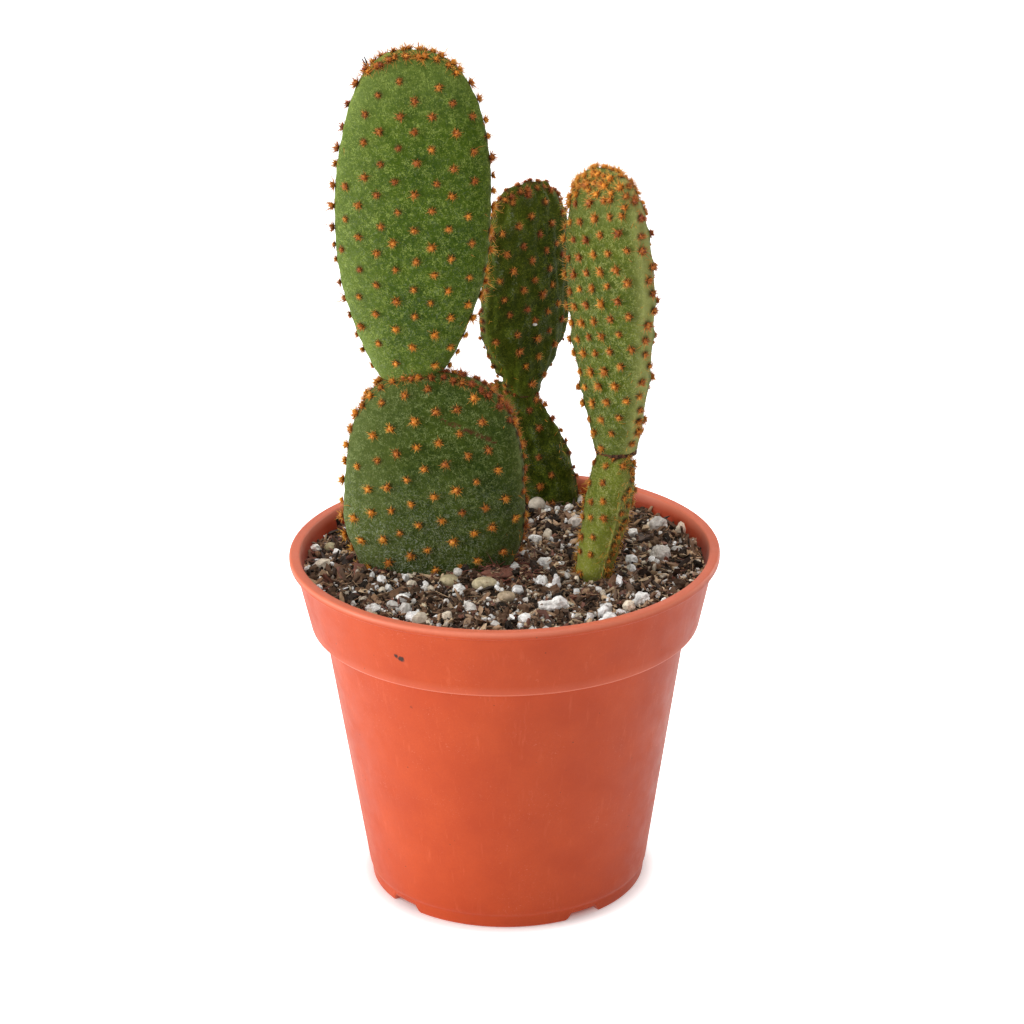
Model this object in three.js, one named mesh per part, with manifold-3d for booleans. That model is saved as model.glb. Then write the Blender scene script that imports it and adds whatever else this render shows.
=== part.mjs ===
// A paddle cactus in a plastic nursery pot.
// Three rooted pads, each carrying one more pad on its top edge, stand in gritty potting mix.
// Millimetres, +Z up. The origin is the middle of the pot's underside, and the best side faces -Y.

import * as THREE from 'three';
import { mergeVertices } from 'three/addons/utils/BufferGeometryUtils.js';
import Module from 'manifold-3d';

const wasm = await Module();
wasm.setup();

// Driving dimensions of the pot
const POT_HEIGHT = 86.5;
const RIM_RADIUS = 52.5;
const LIP_HEIGHT = 2.0;
const LIP_REACH = 1.4;
const BAND_HEIGHT = 18.3;
const BAND_FOOT_RADIUS = 47.5;
const BODY_TOP_RADIUS = 44.5;
const BODY_FOOT_RADIUS = 34.8;
const FOOT_RING_HEIGHT = 3.6;
const FOOT_RING_RADIUS = 34.1;
const WALL = 1.2;
const FLOOR_UNDERSIDE = 2.0;
const FLOOR_TOP = 3.4;
const FOOT_RING_TOP_WIDTH = 2.4;
const FOOT_RING_FOOT_WIDTH = 2.0;
const FOOT_ROUNDING = 0.8;
const LIP_ROUNDING = 0.8;
const POT_SIDES = 64;

// Drainage: notches with sloping ends through the foot ring, and a round hole in the floor behind each.
// Angles run from the front (-Y) towards +X.
const DRAIN_ANGLES_DEG = [33, 132, 213, 312];
const NOTCH_ROOF_WIDTH = 7.2;
const NOTCH_FOOT_WIDTH = 10;
const NOTCH_DEPTH = 1.95;
const NOTCH_REACH = 14;
const DRAIN_HOLE_RADIUS = 3.5;
const DRAIN_HOLE_PITCH_RADIUS = 25;
const DRAIN_HOLE_CUT = 8;

// Soil
const SOIL_EDGE_HEIGHT = 81.8;
const SOIL_MOUND = 1.8;
const SOIL_SIDES = 48;
const SOIL_RINGS = 9;
const SOIL_RIPPLE = 0.35;
// Heaps round the stems, and hollows where the height is negative
const HEAPS = [
  { at: [-2, -13], height: 1.5, spread: 7 },
  { at: [20, -9], height: -0.8, spread: 9 },
  { at: [9, 36], height: 1.6, spread: 10 },
  { at: [32, 18], height: -2.6, spread: 4.2 },
];

// How deep the large stones lie in the soil, as a share of their height
const STONE_SUNK = 0.28;

// Room kept between pieces that touch
const GAP = 0.3;

// Facets of each pad: round its section and along its length
const PAD_SIDES = 20;
const PAD_RINGS = 15;
const SECTION_POWER = 0.9;

const COLORS = {
  terracotta: 0xd4603c,
  soil: 0x3a2a20,
  litGreen: 0x5f7d41,
  darkGreen: 0x3a5228,
  greyGreen: 0x69875a,
  perlite: 0xe6e2da,
  tan: 0xb09a70,
  grey: 0x9a948a,
  bark: 0x6b3a2c,
};

// A rooted pad or one that grows on another.
// foot: the middle of its lower end. turn: how far its right edge swings to the front.
// leanRight tips it. waist: where it is widest, as a share of its length.
// rise and crown shape the outline below and above the waist.
const PADS = {
  front_left_lower_pad: {
    color: COLORS.litGreen,
    foot: [-18, -3, 75],
    length: 58,
    width: 43.8,
    thickness: 14,
    neck: [31, 11],
    waist: 0.38,
    rise: 1.4,
    crown: 2.75,
    turn: 9,
    leanRight: 2.5,
  },
  front_left_upper_pad: {
    color: COLORS.litGreen,
    foot: [-22.5, -0.6, 129.2],
    length: 81.3,
    width: 36.6,
    thickness: 12,
    neck: [9, 5],
    waist: 0.5,
    rise: 0.68,
    crown: 2.5,
    turn: 6,
    leanRight: 2.5,
    grownOn: 'front_left_lower_pad',
  },
  right_lower_pad: {
    color: COLORS.greyGreen,
    foot: [19.2, -8, 72],
    length: 43,
    width: 12.2,
    thickness: 9.2,
    neck: [5, 4.4],
    waist: 0.75,
    rise: 1,
    crown: 3.5,
    turn: 52,
    leanRight: 11,
  },
  right_upper_pad: {
    color: COLORS.greyGreen,
    foot: [26.9, -6, 113],
    length: 70,
    width: 27.5,
    thickness: 11.5,
    neck: [11, 9],
    waist: 0.6,
    rise: 1.1,
    crown: 2.7,
    turn: 52,
    leanRight: -2,
    grownOn: 'right_lower_pad',
  },
  back_lower_pad: {
    color: COLORS.darkGreen,
    foot: [9.8, 40, 71.2],
    length: 45,
    width: 25,
    thickness: 10,
    neck: [18, 8],
    waist: 0.35,
    rise: 0.9,
    crown: 2.5,
    turn: 10,
    leanRight: -14,
  },
  back_upper_pad: {
    color: COLORS.darkGreen,
    foot: [5, 40, 111.2],
    length: 55.5,
    width: 24.2,
    thickness: 10,
    neck: [6, 7],
    waist: 0.38,
    rise: 1.3,
    crown: 3.2,
    turn: -34,
    leanRight: 1.6,
    grownOn: 'back_lower_pad',
  },
};

// The largest loose stones: place on the soil, then length, width and height, and the turn about Z.
const ROUGHNESS = { pebble: 0.03, perlite: 0.14, pumice: 0.12, bark: 0.1 };
const STONES = [
  { kind: 'pebble', color: COLORS.grey, at: [8.2, 32], size: [4.7, 4.3, 4.0], turn: 20 },
  { kind: 'pebble', color: COLORS.tan, at: [-13.4, -15.2], size: [5.2, 4.2, 3.2], turn: 30 },
  { kind: 'pebble', color: COLORS.tan, at: [-4.8, -18.6], size: [6.2, 4.0, 3.4], turn: -5 },
  { kind: 'pebble', color: COLORS.tan, at: [0.4, -25], size: [4.6, 3.6, 2.8], turn: 15 },
  { kind: 'pebble', color: COLORS.tan, at: [-43, 10], size: [3.2, 3.6, 2.6], turn: 0 },
  { kind: 'perlite', color: COLORS.perlite, at: [-11, -19.4], size: [3.6, 3.0, 2.8], turn: 10 },
  { kind: 'perlite', color: COLORS.perlite, at: [2.4, -8.6], size: [3.4, 2.8, 2.6], turn: 40 },
  { kind: 'perlite', color: COLORS.perlite, at: [9.6, -5], size: [4.2, 3.2, 3.0], turn: -20 },
  { kind: 'perlite', color: COLORS.perlite, at: [8.8, -16], size: [3.4, 3.4, 3.0], turn: 55 },
  { kind: 'perlite', color: COLORS.perlite, at: [12.4, -19], size: [2.4, 1.8, 6.4], turn: 25 },
  { kind: 'perlite', color: COLORS.perlite, at: [11.6, -30], size: [6.8, 4.2, 3.6], turn: -10 },
  { kind: 'perlite', color: COLORS.perlite, at: [32.6, -25], size: [4.7, 4.0, 3.8], turn: 30 },
  { kind: 'perlite', color: COLORS.perlite, at: [-21.5, -35], size: [4.0, 3.8, 3.6], turn: 70 },
  { kind: 'perlite', color: COLORS.perlite, at: [-31, -29.6], size: [3.8, 3.0, 2.8], turn: 5 },
  { kind: 'perlite', color: COLORS.perlite, at: [24.8, -35.3], size: [4.4, 3.2, 2.8], turn: -35 },
  { kind: 'perlite', color: COLORS.perlite, at: [30.8, -1], size: [3.8, 3.0, 2.8], turn: 15 },
  { kind: 'perlite', color: COLORS.perlite, at: [7.6, 10.3], size: [4.4, 3.2, 2.6], turn: 0 },
  { kind: 'pumice', color: COLORS.grey, at: [38.6, 21.4], size: [5.6, 4.6, 4.2], turn: 25 },
  { kind: 'pumice', color: COLORS.grey, at: [38.2, 1], size: [5.2, 6.2, 4.6], turn: -15 },
  { kind: 'pumice', color: COLORS.grey, at: [18, 21], size: [3.8, 4.6, 4.6], turn: 50 },
  { kind: 'bark', color: COLORS.bark, at: [-1.2, -13.2], size: [10.5, 3.4, 2.0], turn: 24 },
];

const Y_AXIS = new THREE.Vector3(0, 1, 0);
const Z_AXIS = new THREE.Vector3(0, 0, 1);
const { clamp, degToRad } = THREE.MathUtils;

function toManifold(geometry) {
  const bare = geometry.index ? geometry.clone() : geometry.toNonIndexed();
  bare.deleteAttribute('normal');
  bare.deleteAttribute('uv');
  const merged = mergeVertices(bare, 1e-4);
  return new wasm.Manifold(new wasm.Mesh({
    numProp: 3,
    vertProperties: new Float32Array(merged.attributes.position.array),
    triVerts: new Uint32Array(merged.index.array),
  }));
}

function toGeometry(solid) {
  const mesh = solid.getMesh();
  const geometry = new THREE.BufferGeometry();
  geometry.setAttribute('position', new THREE.BufferAttribute(mesh.vertProperties, 3));
  geometry.setIndex(new THREE.BufferAttribute(mesh.triVerts, 1));
  geometry.computeVertexNormals();
  return geometry;
}

function subtractAll(solid, cutters) {
  return cutters.reduce((rest, cutter) => rest.subtract(cutter), solid);
}

function moveVertices(geometry, move) {
  const position = geometry.attributes.position;
  const point = new THREE.Vector3();
  for (let i = 0; i < position.count; i += 1) {
    point.fromBufferAttribute(position, i);
    move(point);
    position.setXYZ(i, point.x, point.y, point.z);
  }
  return geometry;
}

// A solid of revolution about Z from [radius, height] points
function revolve(points, sides) {
  const profile = points.map(([radius, height]) => new THREE.Vector2(radius, height));
  return new THREE.LatheGeometry(profile, sides).rotateX(Math.PI / 2);
}

// Points of a quarter turn or less round a small centre, for beads and rounded corners
function arcPoints(centre, radius, fromDeg, toDeg, steps) {
  const points = [];
  for (let i = 0; i <= steps; i += 1) {
    const angle = degToRad(fromDeg + ((toDeg - fromDeg) * i) / steps);
    points.push([centre[0] + radius * Math.cos(angle), centre[1] + radius * Math.sin(angle)]);
  }
  return points;
}

// Radii of the pot's wall, outside the band and the body
const BAND_TOP_RADIUS = RIM_RADIUS - LIP_REACH;
const BAND_FOOT_HEIGHT = POT_HEIGHT - BAND_HEIGHT;

function potOutline() {
  const lipBottom = POT_HEIGHT - LIP_HEIGHT;
  const innerFoot = BODY_FOOT_RADIUS - WALL;
  const innerTop = BAND_TOP_RADIUS - WALL;
  return [
    [0, FLOOR_UNDERSIDE],
    [FOOT_RING_RADIUS - FOOT_RING_TOP_WIDTH, FLOOR_UNDERSIDE],
    [FOOT_RING_RADIUS - FOOT_RING_FOOT_WIDTH, 0],
    ...arcPoints([FOOT_RING_RADIUS - FOOT_ROUNDING, FOOT_ROUNDING], FOOT_ROUNDING, -90, 0, 2),
    [FOOT_RING_RADIUS, FOOT_RING_HEIGHT - 0.3],
    [BODY_FOOT_RADIUS, FOOT_RING_HEIGHT + 0.3],
    [BODY_TOP_RADIUS, BAND_FOOT_HEIGHT + 0.4],
    [BAND_FOOT_RADIUS - 0.4, BAND_FOOT_HEIGHT],
    [BAND_FOOT_RADIUS, BAND_FOOT_HEIGHT + 0.4],
    [BAND_TOP_RADIUS, lipBottom],
    [RIM_RADIUS - 0.3, lipBottom],
    ...arcPoints([RIM_RADIUS - LIP_ROUNDING, POT_HEIGHT - LIP_ROUNDING], LIP_ROUNDING, 0, 90, 3),
    [innerTop + 0.5, POT_HEIGHT],
    [innerTop, POT_HEIGHT - 0.6],
    [BAND_FOOT_RADIUS - WALL + 0.3, BAND_FOOT_HEIGHT + 1.6],
    [BODY_TOP_RADIUS - WALL, BAND_FOOT_HEIGHT + 0.6],
    [innerFoot, FLOOR_TOP + 1.4],
    [innerFoot - 1.2, FLOOR_TOP],
    [0, FLOOR_TOP],
  ];
}

// A bar that narrows upwards, so that it leaves a notch with sloping ends
function notchCutter() {
  const notch = new THREE.BoxGeometry(NOTCH_REACH, 1, 2 * NOTCH_DEPTH);
  moveVertices(notch, (point) => {
    const low = (NOTCH_DEPTH - point.z) / NOTCH_DEPTH;
    point.y *= NOTCH_ROOF_WIDTH + (NOTCH_FOOT_WIDTH - NOTCH_ROOF_WIDTH) * low;
  });
  return notch.translate(FOOT_RING_RADIUS, 0, 0);
}

function drainHoleCutter() {
  const hole = new THREE.CylinderGeometry(DRAIN_HOLE_RADIUS, DRAIN_HOLE_RADIUS, DRAIN_HOLE_CUT, 16);
  hole.rotateX(Math.PI / 2);
  return hole.translate(DRAIN_HOLE_PITCH_RADIUS, 0, FLOOR_TOP);
}

function drainCutters() {
  return DRAIN_ANGLES_DEG.flatMap((degrees) => {
    const angle = degToRad(degrees - 90);
    return [notchCutter(), drainHoleCutter()].map((cutter) => toManifold(cutter.rotateZ(angle)));
  });
}

function potSolid() {
  return subtractAll(toManifold(revolve(potOutline(), POT_SIDES)), drainCutters());
}

// Height of the soil's surface: a low mound, the heaps and hollows, and a slight ripple
function soilHeight(x, y) {
  const edgeRadius = BAND_TOP_RADIUS - WALL;
  const share = Math.min(Math.hypot(x, y) / edgeRadius, 1);
  const heaps = HEAPS.reduce((sum, { at, height, spread }) => {
    const away = Math.hypot(x - at[0], y - at[1]) / spread;
    return sum + height * Math.exp(-away * away);
  }, 0);
  const ripple = SOIL_RIPPLE * Math.sin(x * 0.31 + 1.3) * Math.cos(y * 0.27 - 0.6);
  return SOIL_EDGE_HEIGHT + SOIL_MOUND * (1 - share ** 2) + (1 - share ** 4) * (heaps + ripple);
}

// The soil follows the inside of the pot, a gap away from it
function soilBody() {
  const sunk = SOIL_EDGE_HEIGHT - 1;
  const bandInner = BAND_TOP_RADIUS - WALL - GAP;
  const slope = (BAND_TOP_RADIUS - BAND_FOOT_RADIUS) / (BAND_HEIGHT - LIP_HEIGHT);
  const topRadius = bandInner - slope * (POT_HEIGHT - LIP_HEIGHT - SOIL_EDGE_HEIGHT);
  const points = [
    [0, FLOOR_TOP + GAP],
    [BODY_FOOT_RADIUS - WALL - 2.4, FLOOR_TOP + GAP],
    [BODY_FOOT_RADIUS - WALL - 0.5, FLOOR_TOP + 2.2],
    [BODY_TOP_RADIUS - WALL - 0.6, BAND_FOOT_HEIGHT + 0.8],
    [BAND_FOOT_RADIUS - WALL - 0.6, BAND_FOOT_HEIGHT + 2.4],
    [topRadius, SOIL_EDGE_HEIGHT],
  ];
  for (let i = SOIL_RINGS - 1; i >= 0; i -= 1) {
    points.push([(topRadius * i) / SOIL_RINGS, SOIL_EDGE_HEIGHT]);
  }
  return moveVertices(revolve(points, SOIL_SIDES), (point) => {
    if (point.z > sunk) point.z = soilHeight(point.x, point.y);
  });
}

// Half of a pad's width or thickness at a share of its length
function padHalf(full, neck, pad, share, crown) {
  if (share < pad.waist) {
    const climb = Math.sin((Math.PI / 2) * (share / pad.waist)) ** pad.rise;
    return (neck + (full - neck) * climb) / 2;
  }
  const past = (share - pad.waist) / (1 - pad.waist);
  return (full * Math.max(1 - past ** crown, 0) ** (1 / crown)) / 2;
}

function signedPower(value, power) {
  return Math.sign(value) * Math.abs(value) ** power;
}

// A pad is a lathe of its half width, flattened ring by ring to its thickness.
// swell grows it all round, for the pocket that its neighbours leave for it.
function padBody(pad, swell = 0) {
  const halfWidth = (share) => padHalf(pad.width, pad.neck[0], pad, share, pad.crown) + swell;
  const halfThickness = (share) => padHalf(pad.thickness, pad.neck[1], pad, share, 2) + swell;
  const points = [[0, 0]];
  for (let i = 0; i <= PAD_RINGS; i += 1) {
    const share = (1 - Math.cos((Math.PI * i) / PAD_RINGS)) / 2;
    const radius = i === PAD_RINGS ? 0 : halfWidth(share);
    points.push([radius, share]);
  }
  const geometry = revolve(points, PAD_SIDES);
  moveVertices(geometry, (point) => {
    const share = clamp(point.z, 0, 0.9999);
    const radius = Math.hypot(point.x, point.y);
    const across = radius > 0 ? point.x / radius : 0;
    const through = radius > 0 ? point.y / radius : 0;
    const flatten = halfThickness(share) / halfWidth(share);
    point.x = radius * signedPower(across, SECTION_POWER);
    point.y = radius * flatten * signedPower(through, SECTION_POWER);
    point.z = point.z * (pad.length + 2 * swell) - swell;
  });
  return geometry;
}

function placePad(geometry, pad) {
  const pose = new THREE.Matrix4().makeRotationAxis(Z_AXIS, -degToRad(pad.turn));
  pose.premultiply(new THREE.Matrix4().makeRotationAxis(Y_AXIS, degToRad(pad.leanRight)));
  pose.setPosition(...pad.foot);
  return geometry.applyMatrix4(pose);
}

function padPocket(pad) {
  return toManifold(placePad(padBody(pad, GAP), pad));
}

function padSolid(pad) {
  const solid = toManifold(placePad(padBody(pad), pad));
  return pad.grownOn ? solid.subtract(padPocket(PADS[pad.grownOn])) : solid;
}

// A stone: a faceted ball with lumps that follow from its place, stretched to its size
function stoneBody(stone, swell = 0) {
  const [length, width, height] = stone.size;
  const [x, y] = stone.at;
  const geometry = new THREE.IcosahedronGeometry(1, 1);
  geometry.deleteAttribute('normal');
  geometry.deleteAttribute('uv');
  const ball = mergeVertices(geometry, 1e-4);
  moveVertices(ball, (point) => {
    const lump = Math.sin(4 * point.x + x) + Math.sin(5 * point.y + y) + Math.sin(4 * point.z + x + y);
    point.multiplyScalar(1 + (ROUGHNESS[stone.kind] * lump) / 2);
  });
  ball.scale(length / 2 + swell, width / 2 + swell, height / 2 + swell);
  ball.rotateZ(degToRad(stone.turn));
  ball.translate(x, y, soilHeight(x, y) + height * (0.5 - STONE_SUNK));
  return ball;
}

function soilSolid() {
  const rooted = Object.values(PADS).filter((pad) => !pad.grownOn);
  const pockets = rooted.map(padPocket);
  const beds = STONES.map((stone) => toManifold(stoneBody(stone, GAP)));
  return subtractAll(toManifold(soilBody()), [...pockets, ...beds]);
}

function namedMesh(name, geometry, color, roughness) {
  const material = new THREE.MeshStandardMaterial({ color, roughness, metalness: 0 });
  const mesh = new THREE.Mesh(geometry, material);
  mesh.name = name;
  return mesh;
}

function pot() {
  return namedMesh('nursery_pot', toGeometry(potSolid()), COLORS.terracotta, 0.5);
}

function soil() {
  return namedMesh('potting_soil', toGeometry(soilSolid()), COLORS.soil, 0.95);
}

function plant() {
  const group = new THREE.Group();
  for (const [name, pad] of Object.entries(PADS)) {
    group.add(namedMesh(name, toGeometry(padSolid(pad)), pad.color, 0.75));
  }
  return group;
}

function stones() {
  const group = new THREE.Group();
  const made = {};
  for (const stone of STONES) {
    made[stone.kind] = (made[stone.kind] ?? 0) + 1;
    group.add(namedMesh(`${stone.kind}_${made[stone.kind]}`, stoneBody(stone), stone.color, 0.85));
  }
  return group;
}

const pottedCactus = new THREE.Group();
pottedCactus.add(pot(), soil(), plant(), stones());

export default pottedCactus;
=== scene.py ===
"""The looks of the potted paddle cactus: velvety pads with bristle tufts, gritty potting mix and a moulded pot."""

import math

import bmesh
import bpy
import numpy as np
from mathutils import Matrix, Vector, noise


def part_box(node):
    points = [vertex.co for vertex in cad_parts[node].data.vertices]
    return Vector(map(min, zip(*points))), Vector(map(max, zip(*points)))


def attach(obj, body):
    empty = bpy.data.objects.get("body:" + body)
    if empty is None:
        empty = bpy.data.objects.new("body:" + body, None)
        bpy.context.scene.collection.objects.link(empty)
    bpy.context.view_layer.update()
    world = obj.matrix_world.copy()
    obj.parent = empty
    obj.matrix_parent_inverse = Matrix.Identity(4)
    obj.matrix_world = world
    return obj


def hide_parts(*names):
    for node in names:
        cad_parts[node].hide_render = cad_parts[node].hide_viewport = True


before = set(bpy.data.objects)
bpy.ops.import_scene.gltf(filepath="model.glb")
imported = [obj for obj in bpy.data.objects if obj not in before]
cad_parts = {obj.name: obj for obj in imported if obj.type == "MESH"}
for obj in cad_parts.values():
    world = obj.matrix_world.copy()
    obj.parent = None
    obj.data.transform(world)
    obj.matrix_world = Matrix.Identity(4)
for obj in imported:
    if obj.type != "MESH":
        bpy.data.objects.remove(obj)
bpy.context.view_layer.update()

# Shapes are worked out in millimetres and become metres in mesh_object.
MM = 0.001
TURN = 2 * math.pi

# Camera, fitted to the rim's and the foot's ellipses
CAMERA_AT = (1.9, -753.6, 395.3)
CAMERA_DOWN_DEG = 21.68
CAMERA_ROLL_DEG = -0.57
CAMERA_LENS = 117.4
SENSOR_WIDTH = 36.0

# Pot
POT_HEIGHT = (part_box("nursery_pot")[1].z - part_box("nursery_pot")[0].z) / MM
RIM_RADIUS = (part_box("nursery_pot")[1].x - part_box("nursery_pot")[0].x) / MM / 2
WALL = 1.2
BAND_TOP_RADIUS = RIM_RADIUS - 1.4
BAND_FOOT_RADIUS = 47.5
BAND_FOOT_HEIGHT = POT_HEIGHT - 18.3
BODY_TOP_RADIUS = 44.5
BODY_FOOT_RADIUS = 34.8
FOOT_RING_RADIUS = 34.1
FOOT_RING_HEIGHT = 3.6
FLOOR_UNDERSIDE = 2.0
FLOOR_TOP = 3.4
NOTCH_ROOF_WIDTH = 7.2
NOTCH_FOOT_WIDTH = 10.0
NOTCH_ANGLES_DEG = (33, 132, 213, 312)
DRAIN_HOLE_RADIUS = 3.5
DRAIN_HOLE_PITCH_RADIUS = 25.0

# Soil
SOIL_EDGE_HEIGHT = 81.8
SOIL_MOUND = 1.8
SOIL_HEAPS = (((-2, -13), 1.5, 7), ((20, -9), -0.8, 9), ((9, 36), 1.6, 10), ((32, 18), -2.6, 4.2))
SOIL_RADIUS = BAND_TOP_RADIUS - WALL - 0.6

# Pads, as in the CAD part: lengths in mm, leans and turns in degrees.
# lattice: the two steps between neighbouring tufts of a face, as (across, up).
# tone: 0 for dark red-brown bristles to 1 for bright orange ones: at the foot, and the
# changes towards the crown and towards the right edge. crown_tone is added on the crowded crown. The foot value
# and its changes paint light besides the bristles' own colour: brighter tufts where lit, darker in shade.
# mound: height of the bump under each tuft. keel: height and place of the fine ridge beside each edge.
# edge_steps: space between the tufts of the left and of the right edge. hairs: loose hairs per mm of edge.
# crown_reach: half the width of the crowded crown, as a share of the pad's width.
# crown_depth: how far down the crown goes. spiky: how far the longer bristles of the crown and edges stand out.
# painted_rim_light: strength of a pale band down the right edge: a painted highlight of rim light.
# bloom_and_painted_light: strength of the pale bloom colour on the left side and on the crown, where the
# lamps light the pad most: painted light.
PADS = {
    "front_left_lower_pad": dict(
        length=58, width=43.8, thickness=14, neck=(31, 11), waist=0.38, rise=1.4, crown=2.75,
        turn=9, lean=2.5, lattice=((5.0, -2.2), (-2.1, -5.9)), tuft=1.08, tone=(0.95, -0.40, -0.28),
        mound=0.25, keel=(0.10, 0.22), edge_steps=(4.2, 3.2), hairs=0.6, crown_reach=0.45, crown_depth=1.0,
        crown_tone=-0.35, spiky=1.25, painted_rim_light=0.15, bloom_and_painted_light=(0.65, 0.05),
        skin="shaded", bare_below=0.10, seed=3),
    "front_left_upper_pad": dict(
        length=81.3, width=36.6, thickness=12, neck=(9, 5), waist=0.5, rise=0.68, crown=2.5,
        turn=6, lean=2.5, lattice=((4.2, -3.7), (-4.3, -3.8)), tuft=0.95, tone=(1.0, -0.85, 0.2),
        mound=0.25, keel=(0.0, 0.2), edge_steps=(4.6, 4.4), hairs=0.3, crown_reach=0.31, crown_depth=1.0,
        crown_tone=0.55, spiky=1.65, painted_rim_light=0.0, bloom_and_painted_light=(0.55, 0.4),
        skin="lit", bare_below=0.0, seed=5),
    "right_lower_pad": dict(
        length=43, width=12.2, thickness=9.2, neck=(5, 4.4), waist=0.75, rise=1.0, crown=3.5,
        turn=52, lean=11, lattice=((3.6, -1.2), (-1.2, -4.4)), tuft=0.95, tone=(0.55, 0.0, 0.1),
        mound=0.35, keel=(0.30, 0.30), edge_steps=(2.2, 2.2), hairs=8.0, crown_reach=0.4, crown_depth=1.0,
        crown_tone=0.0, spiky=1.2, painted_rim_light=0.15, bloom_and_painted_light=(0.0, 0.0),
        skin="pale", bare_below=0.20, seed=11),
    "right_upper_pad": dict(
        length=70, width=27.5, thickness=11.5, neck=(11, 9), waist=0.6, rise=1.1, crown=2.7,
        turn=52, lean=-2, lattice=((4.9, -1.4), (2.45, -4.75)), tuft=1.08, tone=(0.75, -0.4, -0.15),
        mound=0.55, keel=(0.05, 0.17), edge_steps=(3.2, 3.6), hairs=1.2, crown_reach=0.36, crown_depth=4.6,
        crown_tone=0.5, spiky=1.3, painted_rim_light=0.75, bloom_and_painted_light=(0.1, 0.6),
        skin="grey", bare_below=0.03, seed=13),
    "back_lower_pad": dict(
        length=45, width=25, thickness=10, neck=(18, 8), waist=0.35, rise=0.9, crown=2.5,
        turn=10, lean=-14, lattice=((4.8, -2.4), (-2.4, -5.0)), tuft=0.9, tone=(0.3, 0.0, 0.0),
        mound=0.40, keel=(0.10, 0.2), edge_steps=(3.6, 3.6), hairs=1.5, crown_reach=0.4, crown_depth=1.0,
        crown_tone=0.0, spiky=1.2, painted_rim_light=0.15, bloom_and_painted_light=(0.2, 0.5),
        skin="dark", bare_below=0.22, seed=17),
    "back_upper_pad": dict(
        length=55.5, width=24.2, thickness=10, neck=(6, 7), waist=0.38, rise=1.3, crown=3.2,
        turn=-34, lean=1.6, lattice=((4.2, -1.9), (-1.5, -4.7)), tuft=0.9, tone=(0.5, -0.25, 0.05),
        mound=0.65, keel=(0.10, 0.2), edge_steps=(2.6, 2.4), hairs=2.0, crown_reach=0.42, crown_depth=1.0,
        crown_tone=0.0, spiky=1.1, painted_rim_light=0.15, bloom_and_painted_light=(0.2, 0.3),
        skin="dark", bare_below=0.03, seed=19),
}
SECTION_POWER = 0.9
PAD_RINGS = 200
PAD_SIDES = 208

# Tufts: how far (mm) below the rim each row of the crown stands, and the two layers of bristles.
CROWN_ROWS = (0.0, 1.0, 2.9, 4.6)
# Each layer: bristles per tuft, least and greatest lean (deg), shortest, longest and thickness as shares of the
# tuft's size, and the power of its spikiness.
TUFT_LAYERS = ((34, 0, 80, 0.90, 1.38, 0.080, 0), (18, 8, 92, 1.15, 1.85, 0.052, 1))
# A bristle has three points at its root, three at its middle and one at its tip.
STRAND_ALONG = (0, 0, 0, 0.55, 0.55, 0.55, 1.0)
STRAND_POINTS = len(STRAND_ALONG)
JOINT_TUFTS = 13

# ---------------------------------------------------------------- meshes

def mesh_object(name, points, faces, material, uv=None, smooth=True, **values):
    """A mesh from points in mm and a list of arrays of triangles or quads. values become point attributes."""
    groups = [np.asarray(f, np.int32) for f in faces if len(f)]
    corners = np.concatenate([g.ravel() for g in groups])
    sizes = np.concatenate([np.full(len(g), g.shape[1], np.int32) for g in groups])
    mesh = bpy.data.meshes.new(name)
    mesh.vertices.add(len(points))
    mesh.loops.add(len(corners))
    mesh.polygons.add(len(sizes))
    mesh.vertices.foreach_set("co", (np.asarray(points) * MM).astype(np.float32).ravel())
    mesh.loops.foreach_set("vertex_index", corners)
    mesh.polygons.foreach_set("loop_start", np.concatenate([[0], np.cumsum(sizes)[:-1]]).astype(np.int32))
    if uv is not None:
        layer = mesh.uv_layers.new(name="OFBake")
        layer.data.foreach_set("uv", np.asarray(uv, np.float32).ravel())
    for key, value in values.items():
        kind = "FLOAT_VECTOR" if np.ndim(value) == 2 else "FLOAT"
        attribute = mesh.attributes.new(key, kind, "POINT")
        attribute.data.foreach_set("vector" if kind == "FLOAT_VECTOR" else "value",
                                   np.asarray(value, np.float32).ravel())
    mesh.update(calc_edges=True)
    mesh.validate()
    mesh.polygons.foreach_set("use_smooth", np.full(len(mesh.polygons), smooth))
    mesh.materials.append(material)
    piece = bpy.data.objects.new(name, mesh)
    bpy.context.scene.collection.objects.link(piece)
    return piece


def keep(piece, slot, *nodes):
    """Lets a finished piece ride on the one body and stand for its CAD nodes."""
    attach(piece, "root")
    if nodes:
        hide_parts(*nodes)
    return piece


def grid_faces(rows, columns):
    """Quads of a grid of rows by columns points that closes on itself sideways, with each corner's uv."""
    i, j = np.meshgrid(np.arange(rows - 1), np.arange(columns), indexing="ij")
    i, j = i.ravel(), j.ravel()
    k = (j + 1) % columns
    faces = np.stack([i * columns + j, i * columns + k, (i + 1) * columns + k, (i + 1) * columns + j], 1)
    u = np.stack([j, j + 1, j + 1, j], 1) / columns
    v = np.stack([i, i, i + 1, i + 1], 1) / (rows - 1)
    return faces, np.stack([u, v], -1)


def cap_faces(rows, columns):
    """Triangles that close both ends of such a grid onto two points added after its own."""
    j = np.arange(columns)
    k = (j + 1) % columns
    last = (rows - 1) * columns
    return np.concatenate([np.stack([np.full(columns, rows * columns), k, j], 1),
                           np.stack([np.full(columns, rows * columns + 1), last + j, last + k], 1)])


def copied_faces(faces, count, points_each):
    """The faces of count copies of a template that follow one another in a list of points."""
    return (faces[None] + np.arange(count)[:, None, None] * points_each).reshape(-1, 3)


def unit(vectors):
    return vectors / np.linalg.norm(vectors, axis=1, keepdims=True)


def noise_at(points, scale, seed=0.0):
    """Smooth noise, about -1 to 1, at each point, with features of about 1/scale mm."""
    shift = Vector((seed * 13.7, seed * 7.1, seed * 3.3))
    return np.array([noise.noise(Vector(p) * scale + shift) for p in points.tolist()])


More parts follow.
